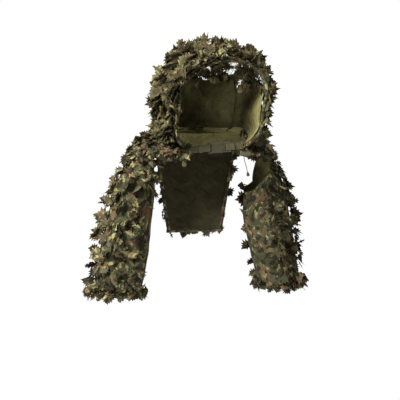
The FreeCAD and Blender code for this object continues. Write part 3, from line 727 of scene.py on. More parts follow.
class LeafBag:
    """Collects cut leaves, then makes one object of them."""

    def __init__(self, seed, material, shade=1.0):
        self.rng = random.Random(seed)
        self.material, self.shade = material, shade
        self.verts, self.faces, self.cloth, self.tone, self.rim = [], [], [], [], []

    def add(self, root, lengthwise, normal, size, kind=None, curl=None):
        rng = self.rng
        kind = kind or rng.choice(BROAD)
        outline = OUTLINES[kind]
        skew = rng.uniform(-0.12, 0.12)
        stretch = rng.uniform(0.85, 1.15)
        bend = rng.uniform(-0.25, 0.75) if curl is None else curl
        crease = rng.uniform(-0.15, 0.45)
        twist = rng.uniform(-0.5, 0.5)
        flat = []
        for x, y in outline:
            ragged = x * stretch + skew * y + rng.uniform(-0.022, 0.022)
            flat.append((ragged, y + rng.uniform(-0.02, 0.02), 1.0))
        for x, y in outline:
            flat.append((x * stretch * INNER + skew * y, 0.45 + (y - 0.45) * INNER, 0.35))
        flat.append((skew * 0.45, 0.45, 0.0))
        across = lengthwise.cross(normal).normalized()
        up = across.cross(lengthwise).normalized()
        start = len(self.verts)
        shift = (rng.uniform(-4, 4), rng.uniform(-4, 4), rng.uniform(-4, 4))
        turn = rng.uniform(0.0, 2.0 * math.pi)
        cos, sin = math.cos(turn), math.sin(turn)
        # the bag's shade is painted shade, multiplied into each leaf's random tone
        tone = rng.choice((0.34, 0.50, 0.66, 0.82, 0.95, 1.08, 1.24)) * rng.uniform(0.9, 1.1) * self.shade
        for x, y, rim in flat:
            height = bend * 0.42 * y * y + crease * abs(x) + twist * x * y
            height += 0.03 * math.sin(7.0 * x + 5.0 * y + turn) * rim
            p = root + across * (x * size) + lengthwise * (y * size) + up * (height * size)
            self.verts.append(V(min(max(c, low), high) for c, low, high in zip(p, LEAF_LOW, LEAF_HIGH)))
            cx, cy = x * size, y * size
            self.cloth.append((cx * cos - cy * sin + shift[0], cx * sin + cy * cos + shift[1], shift[2]))
            self.tone.append(tone)
            self.rim.append(rim)
        m = len(outline)
        for i in range(m):
            j = (i + 1) % m
            self.faces.append((start + i, start + j, start + m + j, start + m + i))
            self.faces.append((start + m + i, start + m + j, start + 2 * m))

    def build(self, name):
        obj = make_object(name, self.verts, self.faces, self.cloth, self.tone, self.rim, (self.material,))
        solidify(obj, LEAF, 0.0)
        return obj


def tipped(flow, normal, angle):
    """A direction and its normal, tipped up by an angle in radians."""
    cos, sin = math.cos(angle), math.sin(angle)
    return flow * cos + normal * sin, normal * cos - flow * sin


def hang(bag, point, u, v, size, lift=(6.0, 34.0), swing=48.0, away=None, depth=0.0015, kind=None,
         turn_u=0.6, curl=None, over=None):
    """One leaf sewn on at a place of a surface, hanging down it or pointing away along a direction."""
    rng = bag.rng
    root = point(u, v, depth + folds(point(u, v, 0.0)) * 0.5)
    normal = outward(point, u, v, turn_u)
    down = V((0.0, 0.0, -1.0)) if away is None else away
    flow = down - normal * down.dot(normal)
    if flow.length < 0.35:
        flow += V((rng.uniform(-1, 1), rng.uniform(-1, 1), 0.0)) * 0.8
        flow -= normal * flow.dot(normal)
    flow.normalize()
    side = normal.cross(flow)
    angle = math.radians(rng.gauss(0.0, swing))
    flow = flow * math.cos(angle) + side * math.sin(angle)
    rise = math.radians(rng.uniform(*lift))
    if over is not None:
        normal = V((normal.x, normal.y, max(normal.z, 0.0))).normalized()
        flow = (flow - normal * flow.dot(normal)).normalized()
        while rise < 1.4 and (root + tipped(flow, normal, rise)[0] * size).z < over(root.y):
            rise += 0.1
    lengthwise, face = tipped(flow, normal, rise)
    roll = math.radians(rng.gauss(0.0, 16.0))
    across = lengthwise.cross(face)
    face = face * math.cos(roll) + across * math.sin(roll)
    bag.add(root, lengthwise, face, size, kind, curl)


def cover(bag, point, limits, stations, pitch, sizes, keep, sprigs, **how):
    """Rows of leaves over a surface, staggered and jittered, about one pitch apart."""
    rng = bag.rng
    for r, v in enumerate(stations):
        low, high = limits(v)
        steps = [point(u, v, 0.0) for u in spread(low, high, 13)]
        count = max(1, round(length_of(steps) / pitch))
        for i in range(count):
            share = (i + 0.5 + 0.25 * (-1) ** r + rng.uniform(-0.32, 0.32)) / count
            share = min(max(share, 0.01), 0.99)
            if rng.random() > keep:
                continue
            step = abs(stations[1] - stations[0]) if len(stations) > 1 else 0.0
            place = v + rng.uniform(-0.35, 0.35) * step
            place = min(max(place, min(stations)), max(stations))
            kind = "sprig" if rng.random() < sprigs else None
            size = rng.uniform(*sizes)
            hang(bag, point, low + (high - low) * share, place, size, kind=kind, **how)


# ---------------------------------------------------------------- camera and light

AZIMUTH, ELEVATION, DISTANCE = math.radians(-20.0), math.radians(3.0), 3.6
back = V((math.sin(AZIMUTH) * math.cos(ELEVATION), -math.cos(AZIMUTH) * math.cos(ELEVATION),
          math.sin(ELEVATION)))
right = V((math.cos(AZIMUTH), math.sin(AZIMUTH), 0.0))
target = right * -0.011 + V((0.0, 0.0, -0.180))
camera = link(bpy.data.objects.new("camera", bpy.data.cameras.new("camera")))
camera.data.lens = 90.0
camera.data.sensor_width = 36.0
camera.location = target + back * DISTANCE
camera.rotation_euler = back.to_track_quat("Z", "Y").to_euler()
bpy.context.scene.camera = camera
bpy.context.scene.view_settings.view_transform = "Standard"


def soft_light(name, place, size, watts):
    light = bpy.data.lights.new(name, "AREA")
    light.energy = watts
    light.size = size
    obj = link(bpy.data.objects.new(name, light))
    obj.location = place
    obj.rotation_euler = (V(place) - V((0.0, 0.0, -0.1))).to_track_quat("Z", "Y").to_euler()


soft_light("key", (-2.9, -1.8, 1.9), 1.0, 345.0)
soft_light("fill", (2.6, -1.9, 0.9), 2.0, 12.0)
soft_light("top", (0.2, 0.3, 2.9), 1.2, 105.0)

# The sky lights the garment softly, and the camera sees it plain white.
WHITE = (1.0, 1.0, 1.0, 1.0)
world = bpy.data.worlds.new("studio")
bpy.context.scene.world = world
world.use_nodes = True
nodes, links = world.node_tree.nodes, world.node_tree.links
sky = nodes["Background"]
sky.inputs["Color"].default_value = WHITE
sky.inputs["Strength"].default_value = 0.25
seen = nodes.new("ShaderNodeBackground")
seen.inputs["Color"].default_value = WHITE
path = nodes.new("ShaderNodeLightPath")
either = nodes.new("ShaderNodeMixShader")
links.new(path.outputs["Is Camera Ray"], either.inputs[0])
links.new(sky.outputs[0], either.inputs[1])
links.new(seen.outputs[0], either.inputs[2])
links.new(either.outputs[0], nodes["World Output"].inputs[0])

floor_mesh = bpy.data.meshes.new("floor")
ring = [(1.7 * math.cos(t), 1.7 * math.sin(t), -1.45) for t in spread(0.0, 2.0 * math.pi, 97)[:-1]]
floor_mesh.from_pydata(ring, [], [tuple(range(96))])
floor = link(bpy.data.objects.new("floor", floor_mesh))
paper = Shader("pale_floor", 0.95, 0.0, 0.1)
grain = paper.noise(paper.add("ShaderNodeTexCoord").outputs["Object"], 6.0, 3.0)
paper.shader.inputs["Emission Color"].default_value = WHITE
paper.shader.inputs["Emission Strength"].default_value = 0.25
floor_mesh.materials.append(paper.finish(paper.mix(grain, (0.90, 0.90, 0.90, 1.0), (0.94, 0.94, 0.94, 1.0))))


# ---------------------------------------------------------------- hanging cord

CORD_ROUTE = [(0.1060, -0.1260, -0.0220), (0.1075, -0.1270, -0.0360), (0.1125, -0.1275, -0.0500),
              (0.1165, -0.1270, -0.0640), (0.1200, -0.1260, -0.0770)]
curve = bpy.data.curves.new("hanging_drawcord", "CURVE")
curve.dimensions = "3D"
curve.bevel_depth = CORD_DIAMETER / 2.0
curve.bevel_resolution = 3
curve.resolution_u = 12
spline = curve.splines.new("NURBS")
spline.points.add(len(CORD_ROUTE) - 1)
for place, p in zip(spline.points, CORD_ROUTE):
    place.co = (*p, 1.0)
spline.order_u = 3
spline.use_endpoint_u = True
curve.materials.append(BRAID)
hanging = link(bpy.data.objects.new("hanging_drawcord", curve))
attach(hanging, "root", ["drawcord_end"])


# ---------------------------------------------------------------- hood cloth

CAMO_LINED = (CAMO, LINING)


def painted_hood_shade(p):
    """Painted shade on the hood's cloth, print and lining alike: darker towards the back, deep inside the
    hood, and painted light near the rim.
    """
    return 1.26 - 0.96 * smoothstep(-0.175, 0.045, p.y)


hood_rows = spread(HOOD_RIM_Y, CHEST_Y, 10) + spread(CHEST_Y, DOME_Y, 20)[1:]
# The hood's side cloths carry painted shade towards the back and painted light near the rim.
for side in (-1, 1):
    cloth_sheet(f"hood_{pair(side)}_cloth", "hood", hood_point,
                lambda y: (side * (CROWN_HALF_ANGLE - 1.0 + 5.0 * noise.noise(V((y * 26.0, side, 0.0)))),
                           side * edge_angle(y)), hood_rows, 36, CAMO_LINED,
                [f"hood_{pair(side)}_panel"], 2.0 + side, 2.4, shade=painted_hood_shade)


def back_level(share, z, depth):
    """The dome, with the back panel's upper edge let go uneven."""
    loose = 0.012 * noise.noise(V((share * 3.2, 1.7, 0.0))) * smoothstep(NECK_Z, BACK_NET_Z, z)
    return dome_level(share, z + loose, depth)


# The hood's back cloth carries the same painted shade.
cloth_sheet("hood_back_cloth", "hood", back_level, lambda z: (-1.0, 1.0),
            spread(NECK_Z, BACK_NET_Z, 26), 53, CAMO_LINED, ["hood_back_panel"], 5.0, 2.8,
            shade=painted_hood_shade)


def netting(name, node, point, limits, stations, columns):
    """Open diamond net of thin knotted yarn over a surface function."""
    verts, faces, cloth = [], [], []
    knots = []
    for j, v in enumerate(stations):
        low, high = limits(v)
        row = []
        for i in range(columns + 1):
            sag = -0.0015 - 0.002 * (1.0 + noise.noise(V((i * 0.2, j * 0.2, 3.0))))
            wobble_x = noise.noise(V((i * 0.7, j * 0.9, 1.0)))
            wobble_y = noise.noise(V((i * 0.8, j * 0.7, 5.0)))
            wobble = V((wobble_x, wobble_y, 0.0)) * 0.0016
            row.append(point(low + (high - low) * i / columns, v, sag) + wobble)
        knots.append(row)
    for j in range(len(stations) - 1):
        for i in range(columns):
            if (i + j) % 2 == 0:
                p, q = knots[j][i], knots[j + 1][i + 1]
            else:
                p, q = knots[j][i + 1], knots[j + 1][i]
            yarn, yarn_faces, yarn_cloth = tube_mesh([p, (p + q) / 2.0, q], YARN_RADIUS, 5)
            faces += renumbered(yarn_faces, len(verts))
            verts += yarn
            cloth += [(x + i * MESH_STEP, y + j * MESH_STEP, z) for x, y, z in yarn_cloth]
    obj = attach(make_object(name, verts, faces, cloth, materials=(NET,)), "hood", [node])


netting("hood_crown_netting", "hood_crown_net", hood_point, lambda y: (-CROWN_HALF_ANGLE, CROWN_HALF_ANGLE),
        spread(HOOD_RIM_Y, DOME_Y + 0.004, 22), 44)
netting("hood_back_netting", "hood_back_net", dome_level, lambda z: (-1.0, 1.0),
        spread(BACK_NET_Z - 0.002, 0.328, 9), 26)


# Rim: bound channel with gathers, and the stitching beside it.
def rim_half(side):
    """Half of the rim's line, from the crown to the chest, with its corner rounded."""
    ahead = 0.0105
    slope = math.atan2(RIM_CORNER_Z - CHEST_Z, CHEST_Y - HOOD_RIM_Y)
    down = V((0.0, -ahead * math.sin(slope), -ahead * math.cos(slope)))
    arc = [hood_point(side * a, HOOD_RIM_Y, RIM_INSET) - V((0, ahead, 0))
           for a in spread(0.0, edge_angle(HOOD_RIM_Y), 16)]
    low = [hood_point(side * edge_angle(y), y, RIM_INSET) + down for y in spread(HOOD_RIM_Y, CHEST_Y, 10)[1:]]
    return arc[:-1] + [(arc[-2] + arc[-1] * 2 + low[0]) / 4.0] + low


def wander(p):
    """Uneven shift of a place on the rim."""
    shifts = [noise.noise(p * 14.0 + offset) for offset in (V((0, 0, 0)), V((9, 0, 0)), V((0, 9, 0)))]
    return V(shifts) * 0.0035


rim = resample(list(reversed(rim_half(-1)[1:])) + rim_half(1), 240)
rim = [p + wander(p) for p in rim]


def rim_radius(along, turn):
    gather = 0.10 * math.sin(along * 620.0 + 2.2 * math.sin(along * 90.0)) * (0.4 + 0.6 * math.sin(turn) ** 2)
    return 0.0058 * (1.0 + gather + 0.12 * noise.noise(V((along * 60.0, turn, 0.0))))


verts, faces, cloth = tube_mesh(rim, CHANNEL_RADIUS, 14, rim_radius)
tone = [0.95 + 0.2 * noise.noise(p * 11.0) for p in verts]
attach(make_object("hood_rim_binding", verts, faces, cloth, tone, None, (BINDING,)), "hood",
       ["hood_rim_channel"])
verts, faces, cloth = tube_mesh(rim, CORD_DIAMETER / 2.0, 8)
attach(make_object("hood_rim_drawcord", verts, faces, cloth, materials=(BRAID,)), "hood",
       ["hood_drawcord"])


def strip_sheet(name, body, first, second, materials, rows, seed, wrap=None):
    """Cloth between two lines of as many points, with cloth coordinates that measure its flat size."""
    verts = [a.lerp(b, share) for share in spread(0.0, 1.0, rows) for a, b in zip(first, second)]
    count = len(first)
    middle = verts[rows // 2 * count:][:count]
    places = [0.0]
    for a, b in zip(middle, middle[1:]):
        places.append(places[-1] + (b - a).length)
    width = sum((b - a).length for a, b in zip(first, second)) / count
    cloth = [(place + seed, width * r / (rows - 1), 0.3) for r in range(rows) for place in places]
    faces = grid_faces(rows, count)
    m = (rows // 2) * count + count // 2
    normal = (verts[m + 1] - verts[m]).cross(verts[m + count] - verts[m])
    if normal.dot(verts[m] - V((0.0, -0.04, 0.10))) < 0:
        faces = [tuple(reversed(f)) for f in faces]
    tone = [0.9 + 0.2 * noise.noise(p * 12.0) for p in verts]
    obj = make_object(name, verts, faces, cloth, tone, None, materials)
    solidify(obj, SHEET, 0.0, len(materials) - 1)
    attach(obj, body, wrap=wrap)


def rim_side(side, first, last):
    return [hood_point(side * edge_angle(y), y, RIM_INSET) for y in spread(first, last, 10)]


arc_end = edge_angle(HOOD_RIM_Y)
rim_arc = [hood_point(a, HOOD_RIM_Y, RIM_INSET) for a in spread(-arc_end, arc_end, 41)[1:-1]]
rim_edge = resample(rim_side(-1, CHEST_Y, HOOD_RIM_Y) + rim_arc + rim_side(1, HOOD_RIM_Y, CHEST_Y), 160)
rim_seam = resample(rim, 160)
strip_sheet("hood_rim_flange", "hood", rim_seam, rim_edge, (BINDING,), 4, 8.0)


def off_rim(p):
    """Direction away from the middle of the hood's opening."""
    return (p - V((0.0, p.y, 0.15))).normalized()


stitches("hood_rim_stitching", "hood",
         [a.lerp(b, 0.72) + off_rim(a) * 0.0008 for a, b in zip(rim_seam, rim_edge)], off_rim)


# ---------------------------------------------------------------- yoke, collar and back panel

for side in (-1, 1):
    cloth_sheet(f"{pair(side)}_front_cloth", "root", yoke_point,
                lambda x: (-90.0, -yoke_angle(x, front_top(x))),
                spread(side * YOKE_INNER, side * (YOKE_SEAM + 0.001), 14), 16, CAMO_LINED,
                [f"{pair(side)}_front_panel"], 11.0 + side)
    cloth_sheet(f"{pair(side)}_shoulder_cloth", "root", yoke_point,
                lambda x: (-90.0, 90.0), spread(side * YOKE_SEAM, side * YOKE_OUTER, 12), 48, CAMO_LINED,
                [f"{pair(side)}_shoulder_panel"], 14.0 + side)
cloth_sheet("back_yoke_cloth", "root", yoke_point,
            lambda x: (yoke_angle(x, BACK_TOP_Z), 90.0), spread(-YOKE_SEAM, YOKE_SEAM, 48), 16, CAMO_LINED,
            ["back_yoke_panel"], 17.0)
# The back panel's inner face is painted shade, a darker olive.
cloth_sheet("back_panel_cloth", "root", tail_point, lambda z: (-tail_half(z), tail_half(z)),
            spread(0.004, TAIL_BOTTOM_Z - 0.004, 34), 40, (CAMO, PAINTED_SHADE_OLIVE),
            ["back_panel", "neck_seam_tape"], 19.0, 1.8)
for side in (-1, 1):
    levels = spread(0.0, TAIL_BOTTOM_Z - 0.002, 40)
    edge = [tail_point(side * (tail_half(z) + 0.0005), z, -0.0045) for z in levels]
    seam = [tail_point(side * (tail_half(z) - 0.013), z, -0.0085) for z in levels]
    strip_sheet(f"back_panel_{pair(side)}_binding", "root", edge, seam, (BINDING,), 3,
                43.0 + side)
    stitches(f"back_panel_{pair(side)}_binding_stitching", "root",
             [a.lerp(b, 0.8) + V((0.0, -0.0012, 0.0)) for a, b in zip(edge, seam)], V((0, -1, 0)))


def hem_rows(depth):
    across = spread(-TAIL_BOTTOM_HALF, TAIL_BOTTOM_HALF, 40)
    return [tail_point(x, TAIL_BOTTOM_Z - 0.001, depth) for x in across]


def folded_hem(name, body, node, line, drop, seed, closed=False):
    """Folded hem: a flattened tube below a line, with the fold at its bottom."""
    thick = 0.0036
    verts, cloth = [], []
    profile = [(0.0, 0.0), (0.5, 0.0), (0.55, -0.15), (0.62, -0.6), (0.50, -0.93), (0.0, -1.0),
               (-0.50, -0.93), (-0.62, -0.6), (-0.55, -0.15), (-0.5, 0.0)]
    along = 0.0
    for i, p in enumerate(line):
        if i:
            along += (p - line[i - 1]).length
        before, after = around(line, i, closed)
        out = (after - before).normalized().cross(V((0, 0, 1))).normalized()
        pucker = 1.0 + 0.25 * noise.noise(V((along * 70.0, seed, 0.0)))
        for k, (x, z) in enumerate(profile):
            verts.append(p + out * (x * thick * pucker) + V((0, 0, z * drop)))
            cloth.append((along + seed, z * drop + (0.02 if k > 5 else 0.0), 0.1))
    tone = [1.0 + 0.15 * noise.noise(p * 15.0) for p in verts]
    faces = ring_faces(len(line), len(profile), closed)
    attach(make_object(name, verts, faces, cloth, tone, None, (BINDING,)), body, [node])


folded_hem("back_panel_folded_hem", "root", "back_panel_hem", hem_rows(-0.0015), 0.012, 3.0)
for drop in (0.003, 0.0095):
    stitches(f"back_hem_stitching_{int(drop * 10000):03d}", "root",
             [p + V((0, 0.0012, -drop)) for p in hem_rows(0.0)], V((0, 1, 0)))


# Collar: the cloth that joins the hood's lower edge to the yoke.
SLANT = V((0.0, -0.466, 0.885))     # up the collar's front


def hood_hem(side):
    line = [hood_point(side * edge_angle(y, 0.006), y, -0.002) for y in spread(CHEST_Y + 0.001, DOME_Y, 30)]
    for lean in spread(DOME_LEAN, 80.0, 40):
        if dome_edge(lean, 0.006) < 179.0:
            line.append(dome_point(side * dome_edge(lean, 0.006), lean, -0.002))
    back_end = max(line, key=lambda p: p.y)
    line = line[:line.index(back_end) + 1]
    line.append(V((0.0, 0.0985, NECK_Z + 0.006)))
    return line


def yoke_hem(side):
    line = [yoke_point(-yoke_angle(x, front_top(x) - 0.005), x, -0.002) for x in
            spread(side * 0.104, side * YOKE_SEAM, 14)]
    start = -yoke_angle(YOKE_SEAM, front_top(YOKE_SEAM) - 0.005)
    end = yoke_angle(YOKE_SEAM, BACK_TOP_Z - 0.004)
    line += [yoke_point(a, side * (YOKE_SEAM + 0.001), -0.002) for a in spread(start, end, 16)[1:]]
    line += [yoke_point(yoke_angle(x, BACK_TOP_Z - 0.004), x, -0.002)
             for x in spread(side * YOKE_SEAM, 0.0, 24)[1:]]
    return line


for side in (-1, 1):
    upper, lower = hood_hem(side), yoke_hem(side)
    split_upper = next(i for i, p in enumerate(upper) if p.y > NECK_LEVEL_Y)
    split_lower = min(range(len(lower)), key=lambda i: (lower[i] - upper[split_upper]).length)
    front_upper, front_lower = resample(upper[:split_upper + 1], 26), resample(lower[:split_lower + 1], 26)
    back_upper, back_lower = resample(upper[split_upper:], 34), resample(lower[split_lower:], 34)
    mid = (front_upper[13] + front_lower[13]) / 2.0
    strip_sheet(f"{pair(side)}_collar_front", "root", front_lower, front_upper,
                (COLLAR, LINING), 7, 23.0 + side,
                ("root", "hood", tuple(mid - SLANT * 0.010), tuple(mid + SLANT * 0.010)))
    strip_sheet(f"{pair(side)}_collar_back", "root", back_lower, back_upper, (COLLAR, LINING),
                7, 25.0 + side, ("root", "hood", (0.0, 0.0, BACK_TOP_Z), (0.0, 0.0, NECK_Z + 0.004)))


# ---------------------------------------------------------------- sleeves

for side in (-1, 1):
    name, body = pair(side), f"{pair(side)}_sleeve"
    point = sleeve_point(side)
    rows = spread(CAP_Z, ARMPIT_Z, 12) + spread(ARMPIT_Z, CUFF_Z, 34)[1:]
    # The left sleeve's cloth carries painted shade all over.
    shade = (lambda p: LEFT_SLEEVE_PAINTED_SHADE) if side > 0 else None
    cloth_sheet(f"{name}_sleeve_outer_cloth", body, point,
                lambda z: (-front_half(side, z), outer_half(z)), rows, 44, CAMO_LINED,
                [f"{name}_sleeve_outer_panel"], 31.0 + side, 1.6, shade)

    def scooped(angle, z, depth):
        """The underarm's surface, with its upper edge scooped down towards the torso."""
        share = (z - CUFF_Z) / (ARMPIT_Z - CUFF_Z)
        return point(angle, CUFF_Z + (underarm_top(side, angle) - CUFF_Z) * share, depth)

    cloth_sheet(f"{name}_sleeve_underarm_cloth", body, scooped,
                lambda z: (SIDE_ANGLE - 0.5, 360.5 - SIDE_ANGLE), spread(ARMPIT_Z, CUFF_Z, 34), 40,
                CAMO_LINED, [f"{name}_sleeve_underarm_panel"], 34.0 + side, 1.6, shade)
    ring_line = [point(a, CUFF_Z + 0.002, -0.0012) for a in spread(0.0, 360.0, 73)[:-1]]
    folded_hem(f"{name}_cuff_folded_hem", body, f"{name}_cuff_hem", ring_line, 0.014, 6.0 + side, True)
    for drop in (0.004, 0.0115):
        stitches(f"{name}_cuff_stitching_{int(drop * 10000):03d}", body,
                 [point(a, CUFF_Z + 0.002 - drop, 0.0009) for a in spread(0.0, 360.0, 73)],
                 lambda p: (p - V((side * (SLEEVE_X + 0.096), 0.042, p.z))).normalized())
    for edge in (-1, 1):
        half = (lambda z: front_half(side, z)) if edge < 0 else outer_half
        stitches(f"{name}_armhole_stitching_{'front' if edge < 0 else 'back'}", body,
                 [point(edge * (half(z) - 3.0), z, folds(point(edge * half(z), z, 0.0), 1.6) + 0.0003)
                  for z in spread(CAP_Z - 0.004, ARMPIT_Z, 24)],
                 lambda p: (p - V((side * SLEEVE_X, SLEEVE_Y, p.z))).normalized())
    upper = [yoke_point(a, side * (YOKE_OUTER - 0.003), -0.0025) for a in spread(-58.0, 58.0, 30)]
    reach = outer_half(CAP_Z - 0.006)
    lower = [point(a, CAP_Z - 0.006, -0.0025) for a in spread(-reach, reach, 30)]
    strip_sheet(f"{name}_shoulder_bridge", body, upper, lower, CAMO_LINED, 9, 41.0 + side,
                ("root", body, (side * 0.238, 0.012, 0.020), (side * 0.254, 0.012, -0.004)))


# ---------------------------------------------------------------- leaves, row by row

def leaves(name, body, seed, nodes=(), wrap=None):
    """A bag whose finished object rides on a body, or is baked in place when a wrap is given."""
    material = PLAIN_LEAVES if body == "hood" else LEAVES
    # Leaves on the left sleeve carry the same painted shade.
    bag = LeafBag(seed, material, LEFT_SLEEVE_PAINTED_SHADE if body == "left_sleeve" else 1.0)

    def done():
        attach(bag.build(name), body, nodes, wrap)
    return bag, done


BIG, MID = (0.038, 0.054), (0.027, 0.042)


def leaf_floor(y):
    """Height below which no leaf of the hood hangs, so that none shows inside the neck."""
    return neckline_z(y) - 0.006


for side in (-1, 1):
    bag, done = leaves(f"{pair(side)}_brim_leaves", "hood", 100 + side,
                       ["hood_brim_leaf_strip"] if side < 0 else ())
    for row, y in enumerate(spread(HOOD_RIM_Y + 0.004, HOOD_RIM_Y + 0.036, 3)):
        lift = (25.0, 75.0) if row == 0 else (15.0, 60.0)
        away = V((0, -1.0, 0)) if row == 0 else V((0, -0.3, 0.2))
        cover(bag, hood_point, lambda v: (side * 0.5, side * edge_angle(v, 0.004)), [y], 0.019, BIG, 1.0,
              0.10, away=away, lift=lift, swing=55.0)
    done()
    bag, done = leaves(f"{pair(side)}_crown_leaves", "hood", 110 + side,
                       ["hood_crown_leaf_strips"] if side < 0 else ())
    cover(bag, hood_point, lambda v: (side * 1.0, side * 50.0),
          spread(HOOD_RIM_Y + 0.050, DOME_Y - 0.005, 9), 0.028, BIG, 0.84, 0.10, lift=(14.0, 78.0),
          swing=90.0)
    cover(bag, hood_point, lambda v: (side * 1.0, side * 56.0),
          spread(HOOD_RIM_Y + 0.040, HOOD_RIM_Y + 0.085, 3), 0.026, BIG, 0.95, 0.05,
          away=V((0.0, -1.0, -0.2)), lift=(8.0, 40.0), swing=50.0)
    cover(bag, hood_point, lambda v: (side * 1.0, side * CROWN_HALF_ANGLE), spread(-0.052, DOME_Y, 4), 0.030,
          BIG, 0.78, 0.03, away=V((side * 0.4, 1.0, -0.3)), lift=(4.0, 34.0), swing=60.0)
    done()
    bag, done = leaves(f"{pair(side)}_hood_side_leaves", "hood", 120 + side)
    cover(bag, hood_point, lambda v: (side * 50.0, side * CROWN_HALF_ANGLE),
          spread(HOOD_RIM_Y + 0.045, DOME_Y - 0.003, 9), 0.029, BIG, 0.88, 0.05, lift=(4.0, 40.0), swing=45.0)
    cover(bag, hood_point, lambda v: (side * CROWN_HALF_ANGLE, side * edge_angle(v, 0.004)),
          spread(HOOD_RIM_Y + 0.040, DOME_Y - 0.003, 10), 0.0245, BIG, 1.0, 0.05, lift=(3.0, 32.0),
          swing=42.0, over=leaf_floor)
    done()
# A few leaves slip through the net and hang over the lining's upper edge.
for side in (-1, 1):
    bag, done = leaves(f"{pair(side)}_inner_leaves", "hood", 128 + side)
    for y in spread(HOOD_RIM_Y + 0.030, DOME_Y - 0.020, 9):
        angle = side * (CROWN_HALF_ANGLE - bag.rng.uniform(2.0, 7.0))
        place = y + bag.rng.uniform(-0.008, 0.008)
        size = bag.rng.uniform(0.030, 0.046)
        hang(bag, hood_point, angle, place, size, (-26.0, -8.0), 36.0, depth=-0.006, curl=0.3)
    done()
# Leaves sewn along the rim's seam hang over the channel, mostly on the wearer's right.
for side in (-1, 1):
    bag, done = leaves(f"{pair(side)}_rim_leaves", "hood", 125 + side)
    run = [p for p in rim_edge if p.x * side > 0.02 and p.z > (0.050 if side < 0 else 0.10)]
    for p in resample(run, 44 if side < 0 else 24):
        out = V((p.x, 0.0, p.z - 0.155)).normalized()
        root = p + out * 0.005 + V((0.0, bag.rng.uniform(-0.004, 0.010), 0.0))
        flow = V((-0.45 * out.x, -1.0, -0.45 * out.z - 0.55)) + V((0.0, 0.0, bag.rng.gauss(0.0, 0.45)))
        flow = (flow - out * flow.dot(out) * 0.8).normalized()
        face = (out - flow * out.dot(flow)).normalized()
        rise = math.radians(bag.rng.uniform(-16.0, 30.0))
        sizes = (0.026, 0.040) if side < 0 else (0.022, 0.032)
        bag.add(root, *tipped(flow, face, rise), bag.rng.uniform(*sizes))
    done()
bag, done = leaves("hood_back_leaves", "hood", 131, ["hood_back_leaf_strips"])
cover(bag, dome_level, lambda z: (-1.0, 1.0), spread(NECK_Z + 0.006, BACK_NET_Z, 9), 0.0265, BIG, 1.0, 0.04,
      lift=(6.0, 36.0), swing=42.0, turn_u=0.03, over=leaf_floor)
for share in spread(-0.85, 0.85, 8):
    hang(bag, dome_level, share, BACK_NET_Z + bag.rng.uniform(0.004, 0.016), bag.rng.uniform(0.028, 0.042),
         (-24.0, -8.0), 36.0, depth=-0.008, turn_u=0.03, curl=0.3)
cover(bag, dome_level, lambda z: (-0.98, 0.98), spread(BACK_NET_Z + 0.010, 0.324, 5), 0.025, BIG, 1.0, 0.06,
      lift=(8.0, 46.0), swing=55.0, turn_u=0.03)
done()

for side in (-1, 1):
    name = pair(side)
    bag, done = leaves(f"{name}_front_leaves", "root", 140 + side, [f"{name}_front_leaf_strips"])
    inner = 0.116 if side < 0 else 0.136
    cover(bag, yoke_point, lambda x: (-88.0, -yoke_angle(x, front_top(x) - 0.004)),
          spread(side * inner, side * 0.174, 4), 0.022, MID, 1.0, 0.05, lift=(5.0, 28.0), swing=32.0)
    for x in spread(inner - 0.002, 0.172, 5):
        for angle in (-86.0, -76.0):
            hang(bag, yoke_point, angle, side * (x + bag.rng.uniform(-0.006, 0.006)),
                 bag.rng.uniform(0.034, 0.050) * (1.0 if side < 0 else 0.8), (2.0, 26.0), 26.0, depth=0.003)
    done()
    bag, done = leaves(f"{name}_shoulder_leaves", "root", 150 + side, [f"{name}_shoulder_leaf_strips"])
    cover(bag, yoke_point, lambda x: (-86.0, 86.0), spread(side * 0.180, side * 0.234, 4), 0.0235, MID, 1.0,
          0.06, away=V((side * 0.9, 0.0, -0.5)), lift=(6.0, 34.0), swing=50.0)
    done()
bag, done = leaves("back_yoke_leaves", "root", 161, ["back_yoke_leaf_strips"])
cover(bag, yoke_point, lambda x: (yoke_angle(x, BACK_TOP_Z - 0.003), 88.0), spread(-0.172, 0.172, 17), 0.022,
      MID, 1.0, 0.04, lift=(5.0, 26.0), swing=38.0)
done()
bag, done = leaves("back_panel_leaves", "root", 162, ["back_panel_leaf_strips"])
cover(bag, tail_point, lambda z: (-tail_half(z), tail_half(z)),
      spread(-0.012, TAIL_BOTTOM_Z - 0.002, 14), 0.0245, MID, 1.0, 0.04, lift=(5.0, 26.0), swing=38.0)
done()

